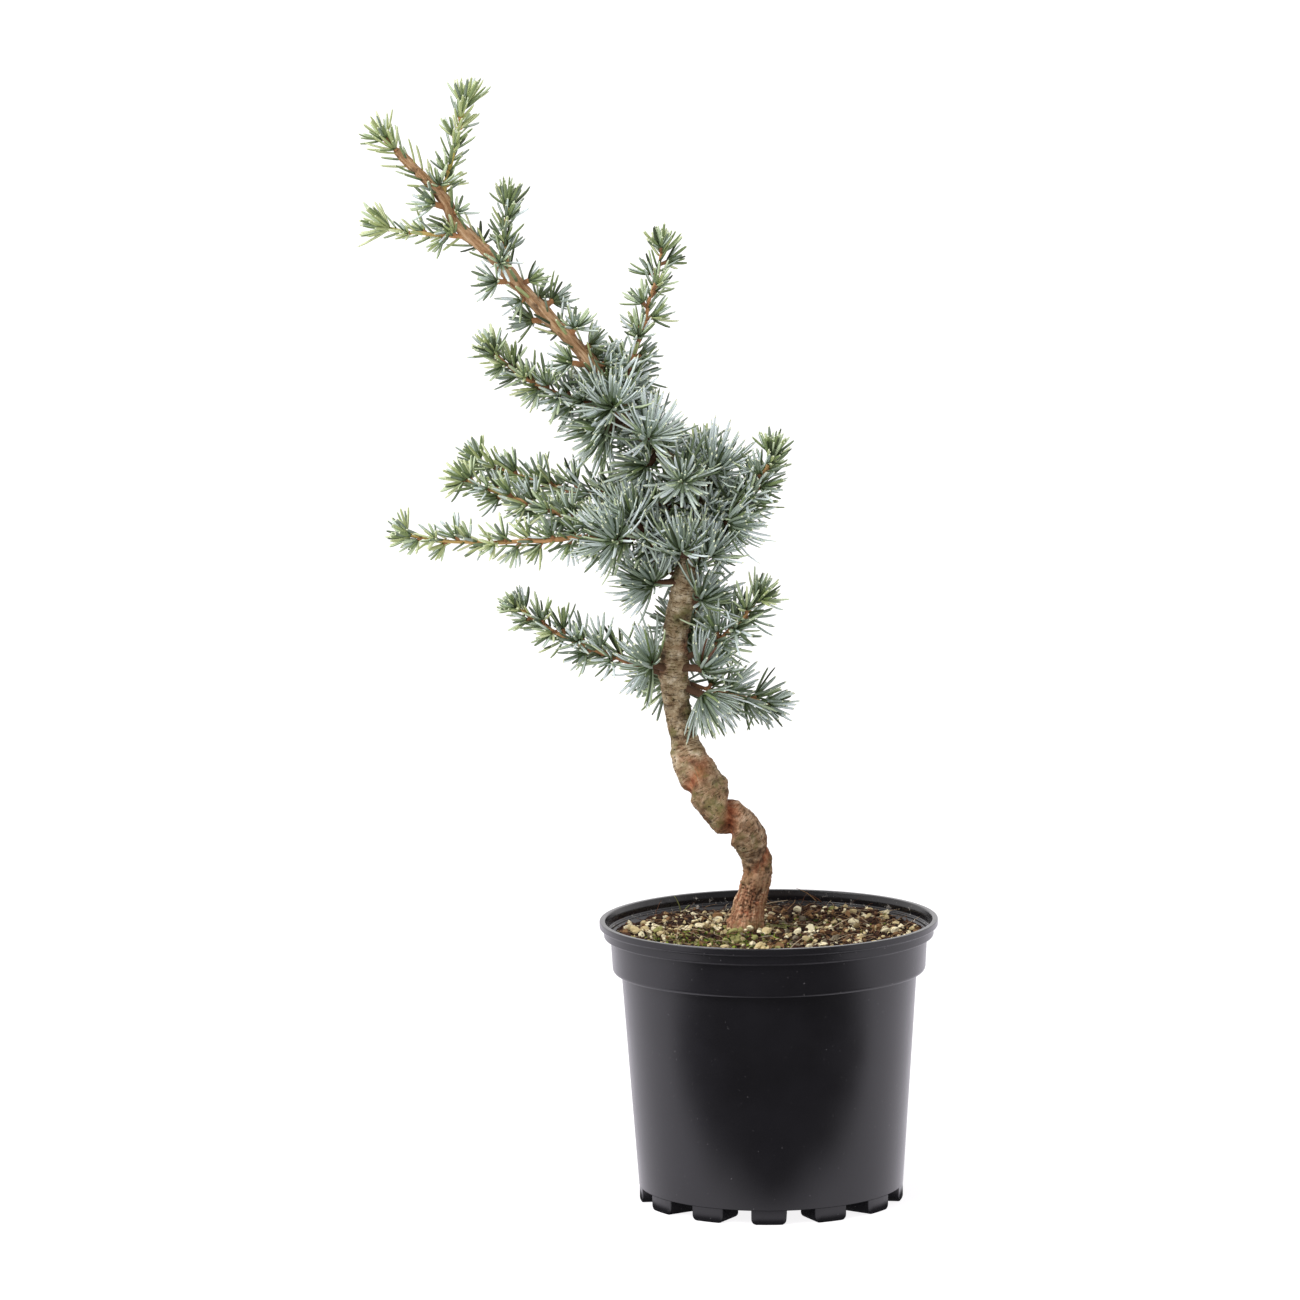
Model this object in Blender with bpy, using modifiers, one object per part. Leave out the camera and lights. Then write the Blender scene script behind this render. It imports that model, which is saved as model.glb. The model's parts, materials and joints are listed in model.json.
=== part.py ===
"""Young blue cedar with a wire-scarred trunk, growing in a three-litre nursery pot.

Run with:  blender --background --python part.py

Units are metres, +Z is up, the pot stands on Z = 0 and its axis is the Z axis.
Every sub-part is one object, and its name says what it is.  The limbs and the
masses of needles grow by one seeded rule from the named sizes at the top.
"""
import math
import random
from collections import namedtuple

import bmesh
import bpy
import numpy as np
from mathutils import Matrix, Vector
from mathutils.bvhtree import BVHTree

# ---- driving dimensions -------------------------------------------------------------

SEED = 41
CLEARANCE = 0.0003          # gap kept between neighbouring solids
MERGE_DISTANCE = 0.00001

POT_HEIGHT = 0.159
LIP_RADIUS = 0.095          # rolled lip at the rim
LIP_BOTTOM = 0.1548
LIP_EDGE = 0.0012           # rounding of the lip's top edge
NECK_RADIUS = 0.0926        # narrower band under the lip
NECK_TOP = 0.1536
NECK_BOTTOM = 0.1500
COLLAR_RADIUS = 0.0889
COLLAR_DRAFT = 0.0010       # narrowing of the collar from its top to its bottom
COLLAR_BOTTOM = 0.1305
COLLAR_ROUNDING = 0.0050
BODY_TOP_RADIUS = 0.0830
BODY_BOTTOM_RADIUS = 0.0746
POT_WALL = 0.0015
POT_SIDES = 32
FLOOR_HEIGHT = 0.008        # underside of the floor above the ground
FLOOR_ROUNDING = 0.0016
HUB_RADIUS = 0.024          # middle of the underside, which also reaches the ground
HUB_SIDES = 16
FOOT_COUNT = 13
FOOT_WIDTH = 0.0195
FOOT_INNER_RADIUS = 0.056
FOOT_OUTER_RADIUS = 0.0738    # of its flat outer face, all but flush with the wall
FOOT_CORNER = 0.0030
FOOT_TURN = math.radians(-92.2)
SUNK = 0.0006               # how far feet and hub are sunk into the floor

SOIL_LEVEL = 0.1500
SOIL_LUMPS = 0.0014
SOIL_RINGS = 5
MOUND_PLACE = (0.042, 0.050)            # x, y of the highest soil
MOUND_HEIGHT = 0.0024
MOUND_SPREAD = 0.028
PAD_LEVEL = 0.1512          # flat patch of soil that the trunk is cut at
PAD_RADIUS = 0.0115
PAD_SLOPE = 0.022           # width over which the patch runs out into the soil
PAD_DEPTH = 0.008
PAD_SIDES = 12

# height, x, y, radius of the trunk from the cut at soil level to the leader's tip
Station = namedtuple("Station", "height x y radius")
TRUNK = [
    Station(PAD_LEVEL + CLEARANCE, -0.0132, 0.0090, 0.0093),
    Station(0.1657, -0.0105, 0.0080, 0.0081),
    Station(0.1842, -0.0060, 0.0040, 0.0078),
    Station(0.1990, -0.0078, 0.0005, 0.0086),
    Station(0.2105, -0.0147, -0.0022, 0.0096),
    Station(0.2243, -0.0289, -0.0030, 0.0094),
    Station(0.2370, -0.0364, -0.0010, 0.0108),
    Station(0.2500, -0.0428, 0.0020, 0.0102),
    Station(0.2585, -0.0455, 0.0040, 0.0082),
    Station(0.2810, -0.0502, 0.0060, 0.0075),
    Station(0.3010, -0.0519, 0.0045, 0.0075),
    Station(0.3245, -0.0498, 0.0010, 0.0070),
    Station(0.3490, -0.0450, -0.0025, 0.0066),
    Station(0.3730, -0.0377, -0.0020, 0.0060),
    Station(0.3927, -0.0343, 0.0020, 0.0056),
    Station(0.4066, -0.0402, 0.0040, 0.0053),
    Station(0.4206, -0.0534, 0.0050, 0.0052),
    Station(0.4504, -0.0825, 0.0020, 0.0046),
    Station(0.4745, -0.0965, -0.0005, 0.0040),
    Station(0.4997, -0.1195, -0.0030, 0.0036),
    Station(0.5335, -0.1494, -0.0060, 0.0033),
    Station(0.5533, -0.1700, -0.0080, 0.0031),
    Station(0.5633, -0.1737, -0.0090, 0.0030),
    Station(0.5884, -0.1969, -0.0100, 0.0027),
    Station(0.5950, -0.2033, -0.0110, 0.0021),
]
TRUNK_SIDES = 10
PATH_STEPS = 900            # into which the trunk's length is measured
RING_STEP = 0.011           # between the trunk's rings where it is smooth
SCAR_RING_STEP = 0.0045     # and where the wire has scarred it
SCAR_PITCH = 0.032          # one turn of the wire, measured along the trunk
SCAR_START = 0.040          # along the trunk, where the scar crosses the front
SCAR_MIDDLE = 0.072         # where it is deepest
SCAR_REACH = 0.030          # over which it fades on both sides of the middle
SCARRED_LENGTH = 0.102      # of the trunk that gets the close rings
SCAR_DEPTH = 0.42           # of the trunk's radius
SCAR_WIDTH = 0.0035
SWELLING = 0.10             # of the radius, between the scar's turns
FLARE = 0.14                # of the radius, in lobes at the foot
FLARE_HEIGHT = 0.009
FLARE_LOBES = 5
FLARE_TURN = 0.7

# A limb springs from its parent: "trunk" at a height, or a bough at a share of its
# length.  Its tip lies at `reach` from there and its middle is moved by `bend`.
# The share `bare` of a long limb is a bough, and the rest is the stem of a mass.
Limb = namedtuple("Limb", "name parent at reach bend bare radius")
LONG_LIMBS = [
    Limb("top_right", "trunk", 0.5665, (0.013, 0.011, 0.052), (0, 0, 0), 0, 0.0013),
    Limb("top_left", "trunk", 0.545, (-0.046, -0.010, 0.006), (0, 0, -0.002), 0, 0.0013),
    Limb("top_middle", "trunk", 0.522, (-0.001, 0.009, 0.040), (-0.003, 0, 0), 0, 0.0013),
    Limb("upper_right", "trunk", 0.450, (0.027, 0.016, 0.085), (0.002, 0, -0.001), 0.22, 0.0021),
    Limb("upper_left", "trunk", 0.448, (-0.070, -0.018, 0.034), (-0.002, 0, -0.007), 0.22, 0.0019),
    Limb("middle_right", "trunk", 0.382, (0.040, -0.012, 0.041), (0.005, 0, -0.005), 0.28, 0.0020),
    Limb("middle_left", "trunk", 0.368, (-0.045, -0.010, 0.012), (0, 0, 0.001), 1, 0.0026),
    Limb("middle_left_rear", "trunk", 0.393, (-0.126, 0.034, 0.022), (0, 0, -0.0065), 0.30, 0.0024),
    Limb("lower_left", "trunk", 0.2975, (-0.087, -0.025, 0.042), (0, 0, -0.005), 0.30, 0.0022),
    Limb("lower_right", "trunk", 0.3035, (0.048, -0.018, 0.039), (0.002, 0, -0.004), 0.40, 0.0019),
    Limb("lowest_right", "trunk", 0.2935, (0.053, 0.011, -0.015), (0, 0, 0), 0.32, 0.0018),
    Limb("rear_low", "trunk", 0.323, (0.016, 0.070, 0.008), (0, 0, -0.004), 0.30, 0.0019),
    Limb("rear_middle", "trunk", 0.375, (-0.030, 0.085, 0.010), (0, 0, -0.005), 0.28, 0.0021),
    Limb("rear_right", "trunk", 0.413, (0.012, 0.070, 0.006), (0, 0, -0.004), 0.28, 0.0019),
    Limb("rear_high", "trunk", 0.442, (-0.018, 0.066, 0.006), (0, 0, -0.004), 0.28, 0.0018),
    Limb("rear_lowest", "trunk", 0.291, (-0.014, 0.062, 0.006), (0, 0, -0.004), 0, 0.0015),
    Limb("far_left", "bough_middle_left", 0.99, (-0.115, -0.020, 0.002), (0, 0, -0.005), 0, 0.0015),
    Limb("far_left_upper", "bough_middle_left", 0.82, (-0.092, 0.012, 0.031), (0, 0, -0.002), 0, 0.0015),
]
ROSETTES = [
    Limb("rosette_neck_left", "trunk", 0.448, (-0.003, -0.018, 0.002), (0, 0, 0), 0, 0.0015),
    Limb("rosette_neck_under", "trunk", 0.443, (-0.013, -0.009, -0.008), (0, 0, 0), 0, 0.0015),
    Limb("rosette_neck_front", "trunk", 0.432, (0.001, -0.024, 0.002), (0, 0, 0), 0, 0.0015),
    Limb("rosette_neck_low", "trunk", 0.424, (-0.009, -0.013, -0.008), (0, 0, 0), 0, 0.0015),
    Limb("rosette_bend_front", "trunk", 0.407, (-0.005, -0.022, 0.002), (0, 0, 0), 0, 0.0015),
    Limb("rosette_bend_right", "trunk", 0.406, (0.012, -0.008, 0.007), (0, 0, 0), 0, 0.0015),
    Limb("rosette_bough_middle", "bough_middle_left", 0.62, (-0.006, -0.004, 0.012), (0, 0, 0), 0, 0.0015),
    Limb("rosette_bough_end", "bough_middle_left", 0.90, (-0.003, -0.012, -0.002), (0, 0, 0), 0, 0.0015),
    Limb("rosette_shoulder_right", "bough_middle_right", 0.2, (0.004, -0.011, -0.003),
         (0, 0, 0), 0, 0.0015),
    Limb("rosette_chest_front", "trunk", 0.363, (-0.006, -0.017, 0.007), (0, 0, 0), 0, 0.0015),
    Limb("rosette_chest_right", "trunk", 0.361, (0.010, -0.013, 0.006), (0, 0, 0), 0, 0.0015),
    Limb("rosette_waist_right", "trunk", 0.339, (0.012, -0.005, 0.002), (0, 0, 0), 0, 0.0015),
    Limb("rosette_waist_left", "trunk", 0.350, (-0.018, -0.009, 0.001), (0, 0, 0), 0, 0.0016),
    Limb("rosette_low_left", "trunk", 0.2995, (-0.012, -0.015, 0.006), (0, 0, 0), 0, 0.0015),
    Limb("rosette_low_right", "trunk", 0.3015, (0.016, -0.014, 0.001), (0, 0, 0), 0, 0.0015),
    Limb("rosette_lowest_right", "trunk", 0.2925, (0.016, -0.008, -0.006), (0, 0, 0), 0, 0.0015),
    Limb("rosette_rear_lowest", "trunk", 0.306, (0.006, 0.019, 0.004), (0, 0, 0), 0, 0.0015),
    Limb("rosette_rear_low", "trunk", 0.351, (-0.004, 0.018, 0.006), (0, 0, 0), 0, 0.0015),
    Limb("rosette_rear_middle", "trunk", 0.389, (0.008, 0.019, 0.002), (0, 0, 0), 0, 0.0015),
    Limb("rosette_rear_neck", "trunk", 0.425, (-0.006, 0.019, 0.004), (0, 0, 0), 0, 0.0015),
    Limb("rosette_rear_high", "trunk", 0.458, (0.004, 0.017, 0.003), (0, 0, 0), 0, 0.0015),
]
SPURS = [
    Limb("spur_tip", "tip", 1.0, (-0.0035, 0, 0.004), (0, 0, 0), 0, 0.0012),
    Limb("spur_leader_1", "trunk", 0.471, (-0.012, -0.008, 0.003), (0, 0, 0), 0, 0.0013),
    Limb("spur_leader_2", "trunk", 0.487, (0.003, -0.005, 0.006), (0, 0, 0), 0, 0.0013),
    Limb("spur_leader_3", "trunk", 0.497, (-0.010, 0.004, 0.000), (0, 0, 0), 0, 0.0013),
    Limb("spur_leader_4", "trunk", 0.5035, (0.006, 0.004, 0.004), (0, 0, 0), 0, 0.0013),
    Limb("spur_leader_5", "trunk", 0.5195, (-0.010, -0.006, 0.000), (0, 0, 0), 0, 0.0013),
    Limb("spur_leader_6", "trunk", 0.560, (-0.008, -0.004, 0.003), (0, 0, 0), 0, 0.0012),
]

BOUGH_TAPER = 0.62          # radius at a bough's end over the radius at its foot
BOUGH_RINGS = 4
STEM_STEP = 0.017           # between a long stem's rings
STEM_CORE = (0.0021, 0.0013)            # radius of stem and needle roots, foot and tip
GOLDEN_ANGLE = math.radians(137.508)

NEEDLE_SIDES = 3            # needles are stouter than life, as there are fewer of them
SHORTEST_NEEDLE = 0.007
NEEDLE_TRIMS = (1.0, 0.8, 0.62, 0.48)   # shares of its length tried, to stay in the space
NEEDLE_SAMPLES = (0.1, 0.2, 0.35, 0.5, 0.65, 0.8, 1.0)      # where that is looked at
SPACE_STEP = 0.0015         # between the places along a stem that own the space near them
SPACE_MARGIN = 0.0006       # kept from the border of the mass's own space
NEEDLE_SPACING = 0.0032     # along a long stem
LONG_STEM_NEEDLE = (0.0215, 0.0135)     # length near the stem's foot and near its tip
LONG_STEM_SPLAY = (64.0, 44.0)          # degrees from the stem, foot and tip
LONG_STEM_STOUT = (0.00135, 0.00095)    # radius of a needle's root, foot and tip
BRUSH_NEEDLES = 7
BRUSH_SPLAY = 34.0
ROSETTE_NEEDLES = 18
ROSETTE_NEEDLE = 0.0280
ROSETTE_SPREAD = 112.0      # degrees from the stem's direction
ROSETTE_CORE = 0.0036
ROSETTE_STOUT = 0.00135
SPUR_NEEDLES = 8
SPUR_NEEDLE = 0.0155
SPUR_SPREAD = 62.0
SPUR_CORE = 0.0024
SPUR_STOUT = 0.0011

# name: base colour, roughness
FINISHES = {
    "pot": ((0.012, 0.012, 0.013, 1), 0.42),
    "soil": ((0.060, 0.038, 0.022, 1), 0.95),
    "bark": ((0.200, 0.150, 0.095, 1), 0.85),
    "needles": ((0.180, 0.290, 0.230, 1), 0.55),
}


# ---- scene helpers ------------------------------------------------------------------

def blend(pair, share):
    return pair[0] + (pair[1] - pair[0]) * share


def clear_scene():
    for item in list(bpy.data.objects):
        bpy.data.objects.remove(item, do_unlink=True)


def new_collection(name):
    collection = bpy.data.collections.new(name)
    bpy.context.scene.collection.children.link(collection)
    return collection


def new_material(name, finish):
    colour, roughness = FINISHES[finish]
    material = bpy.data.materials.new(name)
    material.use_nodes = True
    shader = material.node_tree.nodes["Principled BSDF"]
    shader.inputs["Base Color"].default_value = colour
    shader.inputs["Roughness"].default_value = roughness
    shader.inputs["Metallic"].default_value = 0.0
    material.diffuse_color = colour
    return material


def new_object(name, mesh, collection):
    item = bpy.data.objects.new(name, mesh)
    collection.objects.link(item)
    return item


def paint(item, finish):
    """Give the object a material of its own."""
    item.data.materials.clear()
    item.data.materials.append(new_material(item.name + "_finish", finish))


def mesh_from(bm, name):
    bmesh.ops.recalc_face_normals(bm, faces=bm.faces)
    mesh = bpy.data.meshes.new(name)
    bm.to_mesh(mesh)
    bm.free()
    return mesh


def bake(item):
    """Replace an object's mesh by the result of its modifiers."""
    graph = bpy.context.evaluated_depsgraph_get()
    mesh = bpy.data.meshes.new_from_object(item.evaluated_get(graph))
    if item.type == "MESH":
        item.modifiers.clear()
        item.data = mesh
        return item
    bm = bmesh.new()
    bm.from_mesh(mesh)
    bmesh.ops.remove_doubles(bm, verts=bm.verts, dist=MERGE_DISTANCE)
    name = item.name
    solid = bpy.data.objects.new(name, mesh_from(bm, name))
    solid.matrix_world = item.matrix_world
    item.users_collection[0].objects.link(solid)
    bpy.data.objects.remove(item, do_unlink=True)
    solid.name = name
    return solid


def surface_of(item):
    """Search tree of a solid's surface."""
    return BVHTree.FromPolygons(
        [item.matrix_world @ vertex.co for vertex in item.data.vertices],
        [tuple(face.vertices) for face in item.data.polygons])


def turned(name, profile, collection):
    """Profile of (radius, height), turned about Z."""
    mesh = bpy.data.meshes.new(name)
    points = [(radius, 0.0, height) for radius, height in profile]
    edges = [(index, index + 1) for index in range(len(points) - 1)]
    mesh.from_pydata(points, edges, [])
    item = new_object(name, mesh, collection)
    screw = item.modifiers.new("turn", "SCREW")
    screw.axis = "Z"
    screw.steps = POT_SIDES
    screw.render_steps = POT_SIDES
    screw.use_merge_vertices = True
    screw.merge_threshold = MERGE_DISTANCE
    screw.use_smooth_shade = False
    return item


def fuse(item, extras):
    """Join every object of the collection `extras` to `item`, then remove them."""
    union = item.modifiers.new("union", "BOOLEAN")
    union.operation = "UNION"
    union.operand_type = "COLLECTION"
    union.collection = extras
    union.solver = "EXACT"
    bake(item)
    for extra in list(extras.objects):
        bpy.data.objects.remove(extra, do_unlink=True)
    bpy.data.collections.remove(extras)


def keep_largest_piece(item):
    """Drop loose scraps that a union can leave."""
    bm = bmesh.new()
    bm.from_mesh(item.data)
    bm.verts.ensure_lookup_table()
    unseen = set(bm.verts)
    pieces = []
    while unseen:
        piece = set()
        front = [unseen.pop()]
        while front:
            vertex = front.pop()
            piece.add(vertex)
            for edge in vertex.link_edges:
                other = edge.other_vert(vertex)
                if other in unseen:
                    unseen.remove(other)
                    front.append(other)
        pieces.append(piece)
    pieces.sort(key=len)
    scraps = [vertex for piece in pieces[:-1] for vertex in piece]
    bmesh.ops.delete(bm, geom=scraps, context="VERTS")
    bm.to_mesh(item.data)
    bm.free()


# ---- pot and soil -------------------------------------------------------------------

def pot_profile():
    """Outside of the pot as (radius, height), from the rim down to the floor's middle."""
    collar_bottom_radius = COLLAR_RADIUS - COLLAR_DRAFT
    return [
        (LIP_RADIUS - LIP_EDGE, POT_HEIGHT),
        (LIP_RADIUS, POT_HEIGHT - LIP_EDGE),
        (LIP_RADIUS, LIP_BOTTOM),
        (NECK_RADIUS, NECK_TOP),
        (NECK_RADIUS, NECK_BOTTOM),
        (COLLAR_RADIUS, NECK_BOTTOM - LIP_EDGE),
        (collar_bottom_radius, COLLAR_BOTTOM + COLLAR_ROUNDING),
        (collar_bottom_radius - COLLAR_ROUNDING / 4, COLLAR_BOTTOM + COLLAR_ROUNDING / 3),
        (BODY_TOP_RADIUS, COLLAR_BOTTOM),
        (BODY_BOTTOM_RADIUS, FLOOR_HEIGHT + FLOOR_ROUNDING),
        (BODY_BOTTOM_RADIUS - FLOOR_ROUNDING, FLOOR_HEIGHT),
        (0.0, FLOOR_HEIGHT),
    ]


def inset(profile, distance):
    """The profile moved inwards by a distance, with its corners kept sharp."""
    normals = []
    for first, second in zip(profile, profile[1:]):
        step = Vector((second[0] - first[0], second[1] - first[1])).normalized()
        normals.append(Vector((step.y, -step.x)))
    moved = []
    for index, point in enumerate(profile):
        before = normals[max(index - 1, 0)]
        after = normals[min(index, len(normals) - 1)]
        shift = (before + after) * distance / (1 + before.dot(after))
        moved.append((point[0] + shift.x, point[1] + shift.y))
    moved[-1] = (profile[-1][0], moved[-1][1])
    return moved


def build_pot(parts):
    pot = turned("pot", pot_profile(), parts)
    wall = pot.modifiers.new("wall", "SOLIDIFY")
    wall.thickness = POT_WALL
    wall.offset = -1.0
    wall.use_even_offset = True
    bake(pot)
    extras = new_collection("pot_feet")
    depth = FLOOR_HEIGHT + SUNK
    hub = bmesh.new()
    bmesh.ops.create_cone(hub, cap_ends=True, segments=HUB_SIDES, radius1=HUB_RADIUS,
                          radius2=HUB_RADIUS, depth=depth,
                          matrix=Matrix.Translation((0, 0, depth / 2)))
    new_object("hub", mesh_from(hub, "hub"), extras)
    for index in range(FOOT_COUNT):
        turn = FOOT_TURN + math.tau * index / FOOT_COUNT
        foot = new_object("foot", foot_mesh(depth), extras)
        foot.matrix_world = Matrix.Rotation(turn, 4, "Z")
    fuse(pot, extras)
    paint(pot, "pot")
    return pot


def foot_mesh(depth):
    """One radial foot, with its two lower side edges cut off."""
    length = FOOT_OUTER_RADIUS - FOOT_INNER_RADIUS
    bm = bmesh.new()
    bmesh.ops.create_cube(bm, size=1.0)
    bmesh.ops.scale(bm, vec=(length, FOOT_WIDTH, depth), verts=bm.verts)
    bmesh.ops.translate(bm, vec=(FOOT_INNER_RADIUS + length / 2, 0, depth / 2), verts=bm.verts)
    corner = [edge for edge in bm.edges
              if all(v.co.z < depth / 2 for v in edge.verts)
              and abs(edge.verts[0].co.y - edge.verts[1].co.y) < MERGE_DISTANCE]
    bmesh.ops.bevel(bm, geom=corner, offset=FOOT_CORNER, segments=1, affect="EDGES")
    return mesh_from(bm, "foot")


def soil_height(x, y):
    """Lumpy surface, with a flat pad at the trunk's foot and a mound behind on the right."""
    foot = TRUNK[0]
    distance = math.hypot(x - foot.x, y - foot.y)
    if distance < PAD_RADIUS:
        return PAD_LEVEL
    waves = (math.sin(97 * x + 1.3) * math.cos(83 * y - 0.4)
             + 0.6 * math.sin(171 * x - 139 * y + 2.0)) / 1.6
    from_mound = math.hypot(x - MOUND_PLACE[0], y - MOUND_PLACE[1])
    mound = MOUND_HEIGHT * math.exp(-(from_mound / MOUND_SPREAD) ** 2)
    height = SOIL_LEVEL + SOIL_LUMPS * waves + mound
    return blend((PAD_LEVEL, height), min(1.0, (distance - PAD_RADIUS) / PAD_SLOPE))


def build_soil(parts):
    side = inset(pot_profile(), POT_WALL + CLEARANCE)[6:]
    rim = side[0][0]
    top = [(rim * ring / SOIL_RINGS, SOIL_LEVEL) for ring in range(SOIL_RINGS + 1)]
    soil = turned("soil", top + side, parts)
    bake(soil)
    for vertex in soil.data.vertices:
        if vertex.co.z > SOIL_LEVEL - MERGE_DISTANCE:
            vertex.co.z = soil_height(vertex.co.x, vertex.co.y)
    add_pad(soil)
    paint(soil, "soil")
    return soil


def add_pad(soil):
    """A low flat patch, joined to the soil, that the trunk stands on."""
    foot = TRUNK[0]
    extras = new_collection("soil_pad")
    pad = bmesh.new()
    place = Matrix.Translation((foot.x, foot.y, PAD_LEVEL - PAD_DEPTH / 2))
    bmesh.ops.create_cone(pad, cap_ends=True, segments=PAD_SIDES, radius1=PAD_RADIUS * 1.5,
                          radius2=PAD_RADIUS, depth=PAD_DEPTH, matrix=place)
    new_object("pad", mesh_from(pad, "pad"), extras)
    fuse(soil, extras)


# ---- trunk --------------------------------------------------------------------------

def trunk_station(height):
    """Smooth interpolation of x, y and radius between the trunk's stations."""
    last = len(TRUNK) - 1
    index = 0
    while index < last - 1 and TRUNK[index + 1].height < height:
        index += 1
    low = TRUNK[index]
    high = TRUNK[index + 1]
    before = TRUNK[max(index - 1, 0)]
    after = TRUNK[min(index + 2, last)]
    span = high.height - low.height
    t = min(max((height - low.height) / span, 0.0), 1.0)
    values = []
    for field in ("x", "y", "radius"):
        a, b, c, d = (getattr(station, field) for station in (before, low, high, after))
        slope_b = (c - a) / (high.height - before.height) * span
        slope_c = (d - b) / (after.height - low.height) * span
        values.append(b * (2 * t ** 3 - 3 * t ** 2 + 1) + slope_b * (t ** 3 - 2 * t ** 2 + t)
                      + c * (3 * t ** 2 - 2 * t ** 3) + slope_c * (t ** 3 - t ** 2))
    return Station(height, *values)


def trunk_path():
    """Dense points up the trunk: (point, radius, distance from the cut)."""
    ends = (TRUNK[0].height, TRUNK[-1].height)
    path = []
    travelled = 0.0
    for index in range(PATH_STEPS + 1):
        station = trunk_station(blend(ends, index / PATH_STEPS))
        point = Vector((station.x, station.y, station.height))
        if path:
            travelled += (point - path[-1][0]).length
        path.append((point, station.radius, travelled))
    return path


def trunk_swell(distance, angle):
    """Share of the radius left at this place: the wire's scar, its swellings, the flare."""
    turns = (distance - SCAR_START) / SCAR_PITCH - (angle + math.pi / 2) / math.tau
    across = (turns - round(turns)) * SCAR_PITCH
    strength = math.exp(-((distance - SCAR_MIDDLE) / SCAR_REACH) ** 2)
    groove = SCAR_DEPTH * math.exp(-(across / SCAR_WIDTH) ** 2)
    swelling = SWELLING * (1 - math.cos(math.tau * across / SCAR_PITCH)) / 2
    lobes = 0.5 + 0.5 * math.cos(FLARE_LOBES * angle + FLARE_TURN)
    flare = FLARE * lobes * math.exp(-distance / FLARE_HEIGHT)
    return 1 + strength * (swelling - groove) + flare


def trunk_rings():
    """Distances along the trunk at which it has a ring."""
    path = trunk_path()
    length = path[-1][2]
    rings = [0.0]
    while rings[-1] < length:
        scarred = abs(rings[-1] - SCAR_MIDDLE) < SCARRED_LENGTH / 2
        rings.append(rings[-1] + (SCAR_RING_STEP if scarred else RING_STEP))
    rings[-1] = length
    if rings[-1] - rings[-2] < RING_STEP / 3:
        rings.pop(-2)
    return path, rings


def at_distance(path, distance):
    """Point, radius and direction on a dense path."""
    low = 0
    high = len(path) - 1
    while high - low > 1:
        middle = (low + high) // 2
        if path[middle][2] <= distance:
            low = middle
        else:
            high = middle
    first, second = path[low], path[high]
    share = (distance - first[2]) / max(second[2] - first[2], 1e-9)
    share = min(max(share, 0.0), 1.0)
    behind = path[max(low - 4, 0)][0]
    ahead = path[min(high + 4, len(path) - 1)][0]
    point = first[0].lerp(second[0], share)
    radius = first[1] + (second[1] - first[1]) * share
    return point, radius, (ahead - behind).normalized()


def build_trunk(parts):
    path, rings = trunk_rings()
    bm = bmesh.new()
    previous = None
    for distance in rings:
        point, radius, along = at_distance(path, distance)
        if distance == 0.0:
            along = Vector((0, 0, 1))
        across = Vector((1, 0, 0)) - along * along.x
        across.normalize()
        depth = along.cross(across)
        ring = []
        for side in range(TRUNK_SIDES):
            angle = math.tau * side / TRUNK_SIDES
            reach = radius * trunk_swell(distance, angle)
            offset = across * math.cos(angle) + depth * math.sin(angle)
            ring.append(bm.verts.new(point + offset * reach))
        if previous is None:
            bm.faces.new(list(reversed(ring)))
        else:
            for side in range(TRUNK_SIDES):
                after = (side + 1) % TRUNK_SIDES
                bm.faces.new((previous[side], previous[after], ring[after], ring[side]))
        previous = ring
    bm.faces.new(previous)
    bmesh.ops.triangulate(bm, faces=[face for face in bm.faces if len(face.verts) == 4])
    trunk = new_object("trunk", mesh_from(bm, "trunk"), parts)
    paint(trunk, "bark")
    return trunk


# ---- limbs --------------------------------------------------------------------------

class Line:
    """A limb's centre line, from its parent's middle to its tip."""

    def __init__(self, base, reach, bend):
        self.base = Vector(base)
        self.reach = Vector(reach)
        self.bend = Vector(bend)

    def point(self, share):
        return self.base + self.reach * share + self.bend * (4 * share * (1 - share))

    def direction(self, share):
        slope = self.reach + self.bend * (4 - 8 * share)
        return slope.normalized()

    def length(self):
        return self.reach.length


def across_and_up(direction):
    """Two directions square to this one."""
    side = direction.cross(Vector((0, 0, 1)))
    if side.length < 0.05:
        side = direction.cross(Vector((0, 1, 0)))
    side.normalize()
    return side, side.cross(direction).normalized()


def clear_of(surface, line, share, radius):
    """True where a ring of the limb lies clear of its parent's surface."""
    centre = line.point(share)
    side, up = across_and_up(line.direction(share))
    for step in range(8):
        angle = math.tau * step / 8
        place = centre + (side * math.cos(angle) + up * math.sin(angle)) * radius
        hit, normal, _, gap = surface.find_nearest(place)
        if gap < CLEARANCE or (place - hit).dot(normal) < 0:
            return False
    return True


def start_share(surface, line, radius):
    """Share of the line at which the limb comes clear of its parent."""
    step = 0.00015 / line.length()
    share = 0.0
    while share < 0.9 and not clear_of(surface, line, share, radius):
        share += step
    return share


def tube(name, line, first, last, radii, parts):
    """Four-sided limb between two shares of its line, with a ring for each radius."""
    curve = bpy.data.curves.new(name, "CURVE")
    curve.dimensions = "3D"
    curve.bevel_depth = radii[0]
    curve.bevel_resolution = 0
    curve.use_fill_caps = True
    spline = curve.splines.new("POLY")
    spline.points.add(len(radii) - 1)
    for index, knot in enumerate(spline.points):
        share = index / (len(radii) - 1)
        knot.co = (*line.point(first + (last - first) * share), 1)
        knot.radius = radii[index] / radii[0]
    item = bpy.data.objects.new(name, curve)
    parts.objects.link(item)
    return bake(item)


# ---- needles ------------------------------------------------------------------------

Needle = namedtuple("Needle", "root direction length radius")


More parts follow.
